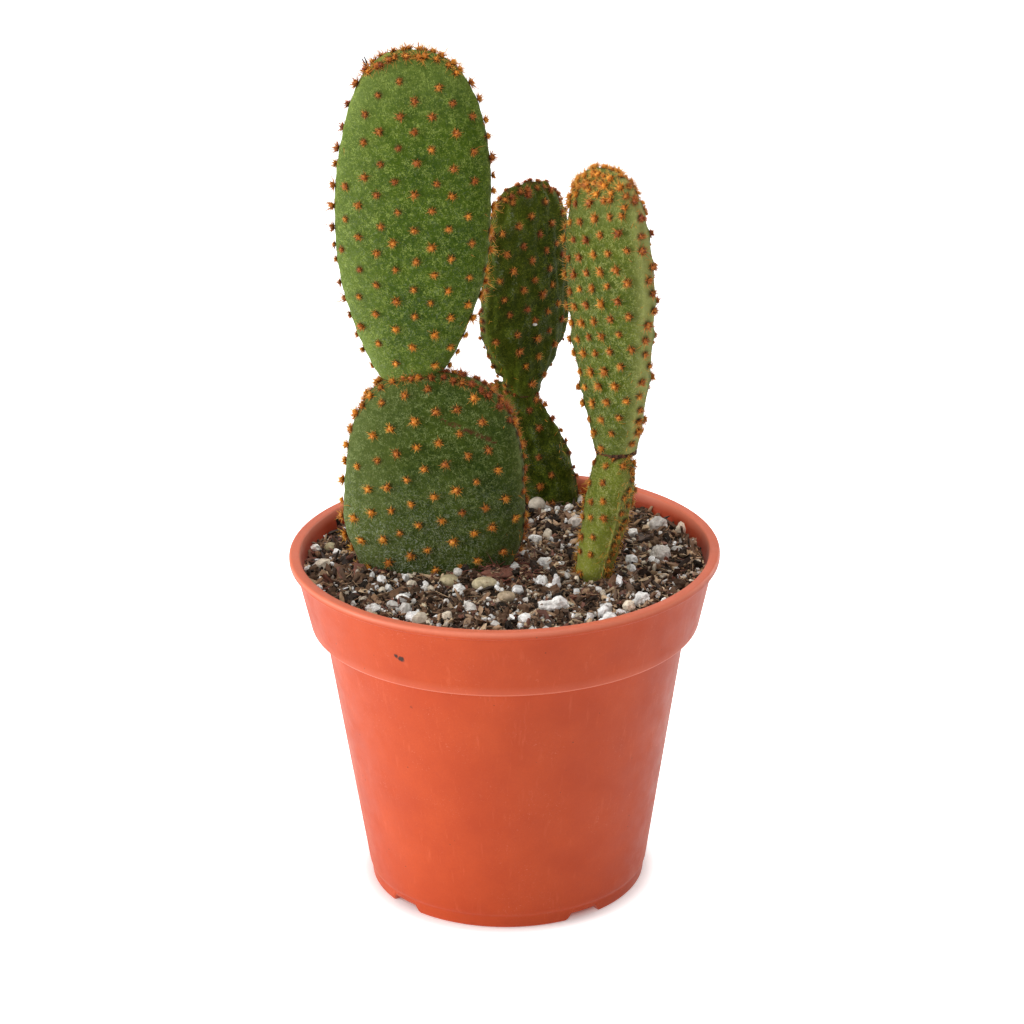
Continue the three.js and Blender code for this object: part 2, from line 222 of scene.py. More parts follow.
def ball(detail):
    """Points and triangles of an icosphere of radius 1."""
    work = bmesh.new()
    bmesh.ops.create_icosphere(work, subdivisions=detail, radius=1.0)
    work.verts.ensure_lookup_table()
    points = np.array([v.co[:] for v in work.verts])
    faces = np.array([[v.index for v in f.verts] for f in work.faces])
    work.free()
    return points, faces


# ---------------------------------------------------------------- materials

class Shader:
    """A Principled material and short names for the nodes that it is made of."""

    def __init__(self, name, roughness, **constants):
        self.material = bpy.data.materials.new(name)
        self.material.use_nodes = True
        self.tree = self.material.node_tree
        self.principled = self.tree.nodes["Principled BSDF"]
        self.set("Roughness", roughness)
        for key, value in constants.items():
            self.set(key.replace("_", " "), value)
        self.object_mm = self.scaled(self.node("ShaderNodeTexCoord").outputs["Object"], 1000)

    def node(self, kind, **settings):
        made = self.tree.nodes.new(kind)
        for key, value in settings.items():
            setattr(made, key, value)
        return made

    def put(self, socket, value):
        if isinstance(value, bpy.types.NodeSocket):
            self.tree.links.new(value, socket)
        elif isinstance(value, tuple) and len(value) == 3 and socket.type == "RGBA":
            socket.default_value = (*value, 1)
        else:
            socket.default_value = value

    def set(self, name, value):
        self.put(self.principled.inputs[name], value)

    def scaled(self, vector, factor):
        made = self.node("ShaderNodeVectorMath", operation="MULTIPLY")
        self.put(made.inputs[0], vector)
        made.inputs[1].default_value = (factor,) * 3 if np.isscalar(factor) else factor
        return made.outputs[0]

    def value(self, name):
        """A point attribute's number."""
        return self.node("ShaderNodeAttribute", attribute_name=name).outputs["Fac"]

    def colour(self, name):
        """A point attribute's colour."""
        return self.node("ShaderNodeAttribute", attribute_name=name).outputs["Color"]

    def noise(self, size, detail=2.0, rough=0.5, vector=None, distortion=0.0):
        """Noise from 0 to 1 with features of about size mm."""
        made = self.node("ShaderNodeTexNoise")
        self.put(made.inputs["Vector"], vector or self.object_mm)
        made.inputs["Scale"].default_value = 1 / size
        made.inputs["Detail"].default_value = detail
        made.inputs["Roughness"].default_value = rough
        made.inputs["Distortion"].default_value = distortion
        return made.outputs[0]

    def cells(self, size):
        """Distance to the nearest point of a scatter size mm apart, in units of size."""
        made = self.node("ShaderNodeTexVoronoi")
        self.put(made.inputs["Vector"], self.object_mm)
        made.inputs["Scale"].default_value = 1 / size
        return made.outputs["Distance"]

    def spot(self, at, radius, blur):
        """1 within radius mm of a place, fading to 0 over blur mm, with a ragged outline."""
        made = self.node("ShaderNodeVectorMath", operation="DISTANCE")
        self.put(made.inputs[0], self.object_mm)
        made.inputs[1].default_value = at
        ragged = self.math("ADD", made.outputs["Value"], self.noise(0.6, 3, 0.7))
        tenth = self.math("DIVIDE", self.math("SUBTRACT", ragged, 0.5), 10.0)
        return self.ramp(tenth, (radius / 10, 1.0), ((radius + blur) / 10, 0.0))

    def ramp(self, factor, *stops):
        """Colours or numbers along 0 to 1: each stop is (place, value)."""
        made = self.node("ShaderNodeValToRGB")
        self.put(made.inputs[0], factor)
        elements = made.color_ramp.elements
        while len(elements) < len(stops):
            elements.new(0.5)
        for element, (place, value) in zip(elements, stops):
            element.position = place
            element.color = (*value, 1) if isinstance(value, tuple) else (value, value, value, 1)
        return made.outputs[0]

    def math(self, operation, a, b=0.5, clamp=False):
        made = self.node("ShaderNodeMath", operation=operation, use_clamp=clamp)
        self.put(made.inputs[0], a)
        self.put(made.inputs[1], b)
        return made.outputs[0]

    def blend(self, factor, a, b):
        made = self.node("ShaderNodeMix", data_type="RGBA")
        self.put(made.inputs[0], factor)
        self.put(made.inputs[6], a)
        self.put(made.inputs[7], b)
        return made.outputs[2]

    def tint(self, base, name, strength, colour):
        """Base with a colour laid over it where a point attribute says so."""
        return self.blend(self.math("MULTIPLY", self.value(name), strength), base, colour)

    def bump(self, height, depth, below=None):
        """A bump whose full range of height is depth mm deep."""
        made = self.node("ShaderNodeBump")
        self.put(made.inputs["Height"], height)
        made.inputs["Distance"].default_value = depth * MM
        made.inputs["Strength"].default_value = 1.0
        if below is not None:
            self.put(made.inputs["Normal"], below)
        return made.outputs[0]


SKINS = {
    # deep green, mid green, pale fleck, and the pale colour of bloom and painted light.
    # lit, shaded and dark are copies of one skin, lighter or darker for the light that each pad gets:
    # painted light and painted shade.
    "lit": ((0.017, 0.046, 0.001), (0.066, 0.112, 0.003), (0.34, 0.42, 0.09), (0.175, 0.232, 0.052)),
    "shaded": ((0.012, 0.029, 0.001), (0.049, 0.074, 0.005), (0.25, 0.30, 0.11), (0.135, 0.170, 0.042)),
    "grey": ((0.030, 0.053, 0.001), (0.082, 0.106, 0.003), (0.40, 0.42, 0.13), (0.170, 0.200, 0.050)),
    "pale": ((0.054, 0.076, 0.003), (0.142, 0.168, 0.016), (0.44, 0.42, 0.15), (0.320, 0.340, 0.040)),
    "dark": ((0.009, 0.019, 0.0006), (0.050, 0.070, 0.0016), (0.18, 0.21, 0.02), (0.120, 0.150, 0.010)),
}


def skin_material(kind):
    """Velvety cactus skin: pale wrinkles and papillae on mottled green, with paler margins and grey scurf.
    Painted light on it: pale bloom on lit sides and crowns, highlights on the edges and on furrow ridges.
    """
    deep, mid, fleck, bloom_and_painted_light = SKINS[kind]
    s = Shader(f"{kind}_skin", 0.66, Specular_IOR_Level=0.10, Sheen_Weight=0.05, Sheen_Roughness=0.4,
               Sheen_Tint=(0.85, 0.92, 0.35, 1))
    mottle = s.ramp(s.noise(9, 4, 0.6), (0.34, 0.0), (0.66, 1.0))
    grain = s.noise(0.6, 3, 0.75)
    grit = s.ramp(grain, (0.38, 0.0), (0.62, 1.0))
    shade = s.math("ADD", s.math("MULTIPLY", mottle, 0.45), s.math("MULTIPLY", grit, 0.70))
    base = s.blend(s.math("ADD", shade, 0.0, clamp=True), deep, mid)
    # Painted light: the pale bloom colour laid on where the lamps light each pad most.
    base = s.blend(s.math("MULTIPLY", s.value("bloom_and_painted_light"), 0.75), base,
                   s.blend(grit, s.blend(0.4, bloom_and_painted_light, mid), bloom_and_painted_light))
    papillae = s.ramp(s.cells(0.52), (0.05, 1.0), (0.40, 0.0))
    patches = s.ramp(s.noise(2.0, 3, 0.7), (0.42, 0.02), (0.62, 0.7))
    base = s.blend(s.math("MULTIPLY", papillae, patches), base, fleck)
    crease = s.math("ABSOLUTE", s.math("SUBTRACT", s.noise(1.25, 4, 0.6, distortion=1.6), 0.5))
    dash = s.math("MULTIPLY", s.ramp(crease, (0.0, 1.0), (0.032, 0.0)),
                  s.ramp(s.noise(1.5, 2, 0.5), (0.44, 0.0), (0.56, 1.0)))
    base = s.blend(s.math("MULTIPLY", dash, 0.8), base, fleck)
    # Paler margins: partly the skin's own paler rim, partly painted highlight on the ridges and the right edge.
    base = s.tint(base, "margin_and_highlight", 0.7, fleck)
    # Grey scurf, and on the pads in the shade painted light along the furrow ridges.
    pale_dash = s.ramp(s.noise(1.1, 5, 0.75, distortion=2.4), (0.52, 0.0), (0.62, 1.0))
    base = s.blend(s.math("MULTIPLY", s.value("scurf_and_furrow_light"), pale_dash), base, (0.34, 0.38, 0.28))
    base = s.tint(base, "stain", 0.9, (0.060, 0.022, 0.008))
    scar = s.math("MULTIPLY", s.value("scar"),
                  s.ramp(s.noise(0.9, 2, 0.6), (0.43, 0.0), (0.52, 0.9)), clamp=True)
    base = s.blend(scar, base, (0.085, 0.024, 0.010))
    s.set("Base Color", base)
    s.set("Roughness", s.ramp(grain, (0.3, 0.78), (0.7, 0.58)))
    soft = s.bump(s.noise(2.6, 2, 0.5), 0.16)
    s.set("Normal", s.bump(s.blend(0.5, grain, papillae), 0.14, soft))
    return s.material


def bristle_material():
    """Barbed bristles: red-brown at the root, orange to straw at the tip, each with its own tone.
    Tone also paints light, and the dark root also stands for the shade in each tuft's core: painted shade.
    """
    s = Shader("bristles", 0.5, Specular_IOR_Level=0.3)
    along, tone = s.value("along"), s.value("tone")
    # Both ramps are darkest at the root: partly the bristles' own red-brown, partly painted shade in the tuft's
    # core.
    dull = s.ramp(along, (0.0, (0.05, 0.010, 0.004)), (0.35, (0.24, 0.044, 0.010)), (1.0, (0.66, 0.17, 0.040)))
    bright = s.ramp(along, (0.0, (0.16, 0.034, 0.005)), (0.3, (0.72, 0.220, 0.012)), (1.0, (1.0, 0.64, 0.12)))
    s.set("Base Color", s.blend(tone, dull, bright))
    return s.material


def cork_material():
    """Dry cracked tissue where one pad grows on another."""
    s = Shader("corky_joint", 0.8, Specular_IOR_Level=0.25)
    crack = s.ramp(s.noise(0.9, 4, 0.7, s.scaled(s.object_mm, (1, 1, 0.5))), (0.40, 0.0), (0.62, 1.0))
    s.set("Base Color", s.blend(crack, (0.016, 0.008, 0.005), (0.19, 0.080, 0.036)))
    s.set("Normal", s.bump(crack, 0.2))
    return s.material


def dark_thorn_material():
    s = Shader("dark_thorn", 0.4)
    s.set("Base Color", s.ramp(s.noise(0.5, 2), (0.3, (0.010, 0.007, 0.006)), (0.7, (0.04, 0.025, 0.018))))
    return s.material


# Places and sizes (mm) of the pot's dark chips
POT_CHIPS = (((-24.3, -42.9, 76.2), 0.60), ((-25.4, -42.2, 76.8), 0.38), ((-22.4, -36.6, 68.6), 0.26),
             ((-22.6, -37.6, 61.1), 0.30), ((-18.6, -39.8, 61.4), 0.25), ((20.6, -36.0, 43.5), 0.28))


def pot_material():
    """Moulded terracotta plastic: faint flow marks, dust, fine scratches and a few dark specks, with a painted
    highlight along the lip and the band's foot and painted shade down the inside wall.
    """
    s = Shader("terracotta_plastic", 0.46, Specular_IOR_Level=0.22, Sheen_Weight=0.06, Sheen_Roughness=0.35)
    cloud = s.noise(14, 4, 0.6)
    base = s.blend(s.ramp(cloud, (0.3, 0.0), (0.7, 1.0)), (0.485, 0.059, 0.0130), (0.568, 0.079, 0.0182))
    fine = s.noise(0.5, 3, 0.6)
    base = s.blend(s.ramp(fine, (0.35, 0.25), (0.62, 0.0)), base, (0.44, 0.050, 0.016))
    flow = s.noise(1.4, 3, 0.65, s.scaled(s.object_mm, (1, 1, 0.12)))
    base = s.blend(s.ramp(flow, (0.60, 0.0), (0.76, 0.25)), base, (0.74, 0.16, 0.07))
    scratch = s.noise(0.9, 5, 0.8, s.scaled(s.object_mm, (0.55, 0.55, 3.2)), distortion=1.4)
    base = s.blend(s.ramp(scratch, (0.665, 0.0), (0.70, 0.5)), base, (0.84, 0.30, 0.18))
    specks = s.math("MULTIPLY", s.ramp(s.cells(3.3), (0.035, 1.0), (0.06, 0.0)),
                    s.ramp(s.noise(9, 2, 0.5), (0.46, 0.0), (0.56, 1.0)))
    base = s.blend(specks, base, (0.14, 0.035, 0.015))
    # Painted highlight: pale along the lip and the band's foot.
    base = s.tint(base, "edge", 0.55, (0.88, 0.30, 0.19))
    scuffed = s.math("MULTIPLY", s.ramp(s.noise(11, 3, 0.6), (0.48, 0.0), (0.68, 1.0)),
                     s.ramp(s.noise(0.55, 4, 0.8, distortion=0.8), (0.60, 0.0), (0.68, 1.0)))
    base = s.blend(s.math("MULTIPLY", scuffed, 0.5), base, (0.84, 0.34, 0.21))
    for place, size in POT_CHIPS:
        base = s.blend(s.spot(place, size, 0.3), base, (0.05, 0.022, 0.016))
    # Painted shade: darker down the inside wall.
    base = s.tint(base, "inside", 0.6, (0.26, 0.022, 0.007))
    s.set("Base Color", base)
    s.set("Roughness", s.ramp(s.noise(5, 4, 0.6), (0.3, 0.36), (0.7, 0.52)))
    s.set("Normal", s.bump(s.blend(0.5, fine, s.noise(2.4, 2, 0.5)), 0.035))
    return s.material


def soil_material():
    """Peat between the grains: nearly black, with brown crumbs."""
    s = Shader("peat", 0.9, Specular_IOR_Level=0.2)
    crumbs = s.noise(1.1, 6, 0.7)
    s.set("Base Color", s.ramp(crumbs, (0.30, (0.007, 0.004, 0.003)), (0.55, (0.040, 0.023, 0.014)),
                               (0.75, (0.14, 0.080, 0.048))))
    s.set("Normal", s.bump(crumbs, 0.5))
    return s.material


def grain_material(name, roughness, speck, bump_mm, specular=0.3):
    """Grains that each carry their own colour, darker and dirtier in patches."""
    s = Shader(name, roughness, Specular_IOR_Level=specular)
    own = s.colour("own_colour")
    dirt = s.ramp(s.noise(speck, 5, 0.7), (0.36, 1.0), (0.60, 0.0))
    s.set("Base Color", s.blend(dirt, own, s.blend(0.45, own, (0.06, 0.036, 0.020))))
    s.set("Normal", s.bump(s.noise(speck * 0.6, 4, 0.7), bump_mm))
    return s.material


# ---------------------------------------------------------------- pot

def fillet(corner, before, after, radius, steps=4):
    """Points that round the corner between two straight runs of an outline."""
    corner, before, after = (np.array(p, float) for p in (corner, before, after))
    back, on = before - corner, after - corner
    reach = min(radius, np.linalg.norm(back) * 0.45, np.linalg.norm(on) * 0.45)
    start = corner + back / np.linalg.norm(back) * reach
    end = corner + on / np.linalg.norm(on) * reach
    t = np.linspace(0, 1, steps + 1)[:, None]
    return (1 - t) ** 2 * start + 2 * t * (1 - t) * corner + t ** 2 * end


def pot_outline():
    """Radius and height of the pot's section, from the underside's middle round to the floor's middle."""
    lip_under = POT_HEIGHT - 2.0
    inner_top = BAND_TOP_RADIUS - WALL
    inner_foot = BODY_FOOT_RADIUS - WALL
    corners = [
        (0.5, FLOOR_UNDERSIDE, 0), (FOOT_RING_RADIUS - 2.4, FLOOR_UNDERSIDE, 0.3),
        (FOOT_RING_RADIUS - 2.0, 0, 0.3), (FOOT_RING_RADIUS, 0, 1.0),
        (FOOT_RING_RADIUS + 0.1, FOOT_RING_HEIGHT - 0.4, 0.5), (BODY_FOOT_RADIUS, FOOT_RING_HEIGHT + 0.5, 1.2),
        (BODY_TOP_RADIUS, BAND_FOOT_HEIGHT + 0.3, 0.6), (BAND_FOOT_RADIUS, BAND_FOOT_HEIGHT, 0.7),
        (BAND_TOP_RADIUS, lip_under, 0.3), (RIM_RADIUS - 0.05, lip_under + 0.1, 0.6),
        (RIM_RADIUS, POT_HEIGHT, 0.8), (inner_top, POT_HEIGHT, 0.45),
        (BAND_FOOT_RADIUS - WALL, BAND_FOOT_HEIGHT + 2.0, 0.6),
        (BODY_TOP_RADIUS - WALL, BAND_FOOT_HEIGHT + 1.4, 0.6),
        (inner_foot, FLOOR_TOP + 1.0, 1.5), (inner_foot - 2.0, FLOOR_TOP, 1.0), (0.5, FLOOR_TOP, 0),
    ]
    points = [np.array([corners[0][:2]])]
    for before, corner, after in zip(corners, corners[1:], corners[2:]):
        points.append(fillet(corner[:2], before[:2], after[:2], corner[2]))
    points.append(np.array([corners[-1][:2]]))
    return thicken(np.concatenate(points), 2.5)


def thicken(points, longest):
    """Adds points to an outline until none of its steps is longer than longest."""
    out = [points[0]]
    for a, b in zip(points, points[1:]):
        steps = max(1, math.ceil(np.linalg.norm(b - a) / longest))
        out += [a + (b - a) * k / steps for k in range(1, steps + 1)]
    return np.array(out)


def notch_half_angles():
    """Half of a drain notch's angle, at its roof and at the pot's foot."""
    return [math.asin(width / 2 / FOOT_RING_RADIUS) for width in (NOTCH_ROOF_WIDTH, NOTCH_FOOT_WIDTH)]


def pot_angles():
    """Angles round the pot, with more of them along the sloping ends of each drain notch."""
    roof, foot = notch_half_angles()
    angles = list(np.linspace(0, TURN, 240, endpoint=False) + 0.0031)
    for notch in np.radians(NOTCH_ANGLES_DEG) - math.pi / 2:
        for side in (-1, 1):
            angles += [(notch + side * a) % TURN for a in np.linspace(roof, foot, 4)]
    return np.array(sorted(angles))


def build_pot():
    outline = pot_outline()
    angles = pot_angles()
    rows, columns = len(outline), len(angles)
    radius = outline[:, 0][:, None] * np.ones(columns)
    height = outline[:, 1][:, None] * np.ones(columns)
    roof, foot = notch_half_angles()
    notch_angles = np.radians(NOTCH_ANGLES_DEG) - math.pi / 2
    away = np.abs((angles[:, None] - notch_angles + math.pi) % TURN - math.pi).min(1)
    lift = FLOOR_UNDERSIDE * np.clip((foot - away) / (foot - roof), 0, 1)[None, :]
    height = np.where(radius > FOOT_RING_RADIUS - 3, np.maximum(height, lift), height)
    oval = 1 + 0.0012 * np.sin(2 * angles + 0.6)[None, :] * (height / POT_HEIGHT)
    x, y = radius * oval * np.cos(angles), radius * oval * np.sin(angles)
    points = np.stack([x, y, height], -1).reshape(-1, 3)
    faces, uv = grid_faces(rows, columns)
    points = np.concatenate([points, [[0, 0, FLOOR_UNDERSIDE], [0, 0, FLOOR_TOP]]])
    around = np.arange(columns) / columns
    cap_uv = np.stack([np.stack([around, around + 0.004, around + 0.002], 1),
                       np.tile([0.0, 0.0, 0.002], (columns, 1))], -1)
    uv = np.concatenate([uv.reshape(-1, 2), np.tile(cap_uv.reshape(-1, 2), (2, 1))])
    radial = np.hypot(points[:, 0], points[:, 1])
    # Painted highlight along the lip's top and the band's foot, kept as the edge attribute.
    lip_highlight = np.exp(-((points[:, 2] - POT_HEIGHT + 0.4) / 0.6) ** 2) * (radial > RIM_RADIUS - 3)
    band_foot_highlight = np.exp(-((points[:, 2] - BAND_FOOT_HEIGHT - 0.3) / 0.35) ** 2)
    band_foot_highlight = band_foot_highlight * (radial > BAND_FOOT_RADIUS - 0.8)
    # Painted shade inside the pot: stronger further below the rim, kept as the inside attribute.
    row = np.repeat(np.arange(rows), columns)
    depth = np.clip((POT_HEIGHT - points[:-2, 2] - 0.8) / 3, 0, 1)
    inside = np.append((row > outline[:, 1].argmax()) * depth, [0, 1])
    piece = mesh_object("nursery_pot_shell", points, [faces, cap_faces(rows, columns)], pot_material(), uv,
                        edge=lip_highlight + 0.8 * band_foot_highlight, inside=inside)
    drill_floor(piece)
    return keep(piece, "terracotta_plastic", "nursery_pot")


def drill_floor(piece):
    """Cuts the round drain holes through the floor, one behind each notch."""
    for index, degrees in enumerate(NOTCH_ANGLES_DEG):
        angle = math.radians(degrees - 90)
        at = (DRAIN_HOLE_PITCH_RADIUS * math.cos(angle) * MM, DRAIN_HOLE_PITCH_RADIUS * math.sin(angle) * MM,
              FLOOR_TOP * MM)
        bpy.ops.mesh.primitive_cylinder_add(vertices=40, radius=DRAIN_HOLE_RADIUS * MM, depth=8 * MM,
                                            location=at)
        cutter = bpy.context.object
        cut = piece.modifiers.new(f"drain_{index}", "BOOLEAN")
        cut.operation = "DIFFERENCE"
        cut.solver = "EXACT"
        cut.object = cutter
        bpy.context.view_layer.objects.active = piece
        bpy.ops.object.modifier_apply(modifier=cut.name)
        bpy.data.objects.remove(cutter)


# ---------------------------------------------------------------- soil

def soil_height(x, y):
    """The CAD part's soil surface: a low mound with heaps and hollows."""
    share = np.minimum(np.hypot(x, y) / (BAND_TOP_RADIUS - WALL), 1)
    heaps = sum(height * np.exp(-((x - at[0]) ** 2 + (y - at[1]) ** 2) / spread ** 2)
                for at, height, spread in SOIL_HEAPS)
    ripple = 0.35 * np.sin(x * 0.31 + 1.3) * np.cos(y * 0.27 - 0.6)
    return SOIL_EDGE_HEIGHT + SOIL_MOUND * (1 - share ** 2) + (1 - share ** 4) * (heaps + ripple)


def bed_height(x, y):
    """The surface of the bed that the loose grains lie on: the CAD surface with clods."""
    flat = np.stack([x, y, np.zeros(len(x))], 1)
    clods = 1.0 * noise_at(flat, 0.20) + 0.8 * noise_at(flat, 0.45, 2) + 0.45 * noise_at(flat, 1.2, 4)
    return soil_height(x, y) - 0.4 + clods


def build_soil():
    """The bed of peat: a closed body under the grains, lumpy on top."""
    top_rings, columns = 120, 300
    radii = SOIL_RADIUS * np.sqrt(np.linspace(1, 0.0002, top_rings))
    angles = np.linspace(0, TURN, columns, endpoint=False)
    r, a = np.meshgrid(radii, angles, indexing="ij")
    x, y = r * np.cos(a), r * np.sin(a)
    z = bed_height(x.ravel(), y.ravel()).reshape(x.shape)
    side = [(BODY_FOOT_RADIUS - WALL - 2.5, FLOOR_TOP + 0.3), (BODY_FOOT_RADIUS - WALL - 0.6, FLOOR_TOP + 2.4),
            (BODY_TOP_RADIUS - WALL - 0.8, BAND_FOOT_HEIGHT + 0.6),
            (BAND_FOOT_RADIUS - WALL - 0.8, BAND_FOOT_HEIGHT + 2.6)]
    rings = [np.stack([radius * np.cos(angles), radius * np.sin(angles), np.full(columns, height)], -1)
             for radius, height in [(0.3, FLOOR_TOP + 0.3)] + side]
    points = np.concatenate([np.array(rings), np.stack([x, y, z], -1)])
    rows = len(points)
    faces, _ = grid_faces(rows, columns)
    points = points.reshape(-1, 3)
    ends = np.array([[0, 0, FLOOR_TOP + 0.3], points[-columns:].mean(0)])
    piece = mesh_object("peat_bed", np.concatenate([points, ends]), [faces, cap_faces(rows, columns)],
                        soil_material())
    return keep(piece, "soil", "potting_soil")


def pad_footprints():
    """Middle, half sizes and turn of each rooted pad where it enters the soil."""
    prints = []
    for name, pad in PADS.items():
        if "lower" in name:
            low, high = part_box(name)
            share = (SOIL_EDGE_HEIGHT + 2 - low.z / MM) / (high.z - low.z) * MM
            lean = math.tan(math.radians(pad["lean"]))
            centre_x = pads_foot(name)[0] + lean * share * pad["length"]
            prints.append((centre_x, pads_foot(name)[1], pad_half(pad, share, "width"),
                           pad_half(pad, share, "thickness"), math.radians(pad["turn"])))
    return prints


def clear_of_pads(x, y, room):
    """True where a grain of that radius stands clear of every stem."""
    clear = np.ones(len(x), bool)
    for cx, cy, half_width, half_thick, turn in pad_footprints():
        u = (x - cx) * math.cos(turn) - (y - cy) * math.sin(turn)
        v = (x - cx) * math.sin(turn) + (y - cy) * math.cos(turn)
        clear &= (u / (half_width + room)) ** 2 + (v / (half_thick + room)) ** 2 > 1
    return clear


def scatter(rng, count, front_share):
    """Places on the disc of soil. front_share from 0 to 1 thins them out away from the front, in patches."""
    radius = SOIL_RADIUS * np.sqrt(rng.random(count))
    angle = rng.random(count) * TURN
    x, y = radius * np.cos(angle), radius * np.sin(angle)
    patch = noise_at(np.stack([x, y, np.full(count, 9.0)], 1), 0.11, 6)
    likely = 1 - front_share * np.clip(0.62 + y / 55 - patch * 0.9, 0, 1)
    kept = rng.random(count) < likely
    return x[kept], y[kept]


def spin_matrices(rng, count, tilt):
    """Rotation matrices: a random yaw after a pitch and a roll of about tilt radians."""
    yaw = rng.random(count) * TURN
    pitch, roll = rng.normal(size=count) * tilt, rng.normal(size=count) * tilt
    zero, one = np.zeros(count), np.ones(count)

    def stacked(rows):
        return np.stack([np.stack(row, -1) for row in rows], 1)

    about_z = stacked([[np.cos(yaw), -np.sin(yaw), zero], [np.sin(yaw), np.cos(yaw), zero], [zero, zero, one]])
    about_y = stacked([[np.cos(pitch), zero, np.sin(pitch)], [zero, one, zero],
                       [-np.sin(pitch), zero, np.cos(pitch)]])
    about_x = stacked([[one, zero, zero], [zero, np.cos(roll), -np.sin(roll)],
                       [zero, np.sin(roll), np.cos(roll)]])
    return about_z @ about_y @ about_x


def crate():
    """Corners and triangles of a cube of half side 0.8, for chips."""
    corners = np.array([[x, y, z] for z in (-0.8, 0.8) for y in (-0.8, 0.8) for x in (-0.8, 0.8)])
    quads = [(0, 2, 3, 1), (4, 5, 7, 6), (0, 1, 5, 4), (2, 6, 7, 3), (0, 4, 6, 2), (1, 3, 7, 5)]
    return corners, np.array([t for a, b, c, d in quads for t in ((a, b, c), (a, c, d))])


def own_colours(rng, colours, count):
    """One of the colours for each grain, made darker or lighter."""
    palette = np.array(colours)
    return palette[rng.integers(len(palette), size=count)] * (0.7 + 0.6 * rng.random((count, 1)))


def grains(name, seed, count, sizes, aspect, lumpy, colours, material, slot, shape, sunk=0.25, tilt=1.0,
           front_share=0.0, room=0.3):
    """A joined piece of many loose grains: each of its own size, proportions, turn and colour."""
    rng = np.random.default_rng(seed)
    template, template_faces = shape
    x, y = scatter(rng, count, front_share)
    size = sizes[0] + (sizes[1] - sizes[0]) * rng.random(len(x)) ** 2.6
    kept = clear_of_pads(x, y, room * size) & (np.hypot(x, y) + 0.3 * size * aspect[0] < SOIL_RADIUS + 0.4)
    x, y, size = x[kept], y[kept], size[kept]
    count = len(size)
    scale = np.array(aspect) * (0.7 + 0.6 * rng.random((count, 3))) * size[:, None] / 2
    bumps = 1 + lumpy * rng.normal(size=(count, len(template), 3 if len(template) == 8 else 1))
    points = np.einsum("nij,nvj->nvi", spin_matrices(rng, count, tilt),
                       template[None] * bumps * scale[:, None, :])
    lift = (0.5 - sunk) * size * aspect[2] + rng.random(count) * 0.5
    points += np.stack([x, y, bed_height(x, y) + lift], -1)[:, None, :]
    reach = np.hypot(points[..., 0], points[..., 1])
    inward = np.minimum(1, SOIL_RADIUS / np.maximum(reach, 1e-3))  # no grain comes through the pot's wall
    points[..., :2] *= inward[..., None]
    own = own_colours(rng, colours, count)
    side = math.ceil(math.sqrt(count))
    cell = np.stack([np.arange(count) % side, np.arange(count) // side], -1)
    local = template[:, :2] * 0.40 + template[:, 2:] * np.array([0.06, 0.03]) + 0.5
    uv_points = (cell[:, None, :] + local[None]) / side
    faces = copied_faces(template_faces, count, len(template))
    uv = uv_points.reshape(-1, 2)[faces.ravel()]
    own_points = np.repeat(own, len(template), 0)
    piece = mesh_object(name, points.reshape(-1, 3), [faces], material, uv, False, own_colour=own_points)
    return keep(piece, slot)


def fibres(name, seed, count, centre, spread, lengths, radii, colours, material):
    """Thin bent fibres that lie on the bed round a place."""
    rng = np.random.default_rng(seed)
    x, y = centre[0] + rng.normal(size=count) * spread, centre[1] + rng.normal(size=count) * spread
    kept = (np.hypot(x, y) < SOIL_RADIUS - 2.5) & clear_of_pads(x, y, np.full(count, 0.2))
    x, y = x[kept], y[kept]
    count = len(x)
    yaw, rise = rng.random(count) * TURN, rng.normal(size=count) * 0.22
    direction = np.stack([np.cos(yaw) * np.cos(rise), np.sin(yaw) * np.cos(rise), np.sin(rise)], -1)
    length = rng.uniform(*lengths, count)
    base = np.stack([x, y, bed_height(x, y) + rng.uniform(0.3, 1.5, count)], -1)
    base = base - direction * (length / 2)[:, None]
    reach = np.hypot(base[:, 0], base[:, 1]).clip(1e-3)
    far = np.hypot(*(base + direction * length[:, None])[:, :2].T)
    kept = (reach < SOIL_RADIUS - 0.5) & (far < SOIL_RADIUS - 0.5)
    base, direction, length = base[kept], direction[kept], length[kept]
    count = len(base)
    points, faces, along = strands(rng, base, direction, length, rng.uniform(*radii, count), length * 0.16)
    own = own_colours(rng, colours, count)
    beside = np.tile([-0.3, 0, 0.3, -0.3, 0, 0.3, 0.1], count)
    cell = (np.repeat(np.arange(count), STRAND_POINTS) + 0.5 + beside) / count
    uv = np.stack([cell, 0.02 + 0.96 * along], -1)[faces.ravel()]
    piece = mesh_object(name, points, [faces], material, uv, own_colour=np.repeat(own, STRAND_POINTS, 0))
    return keep(piece, "bark")


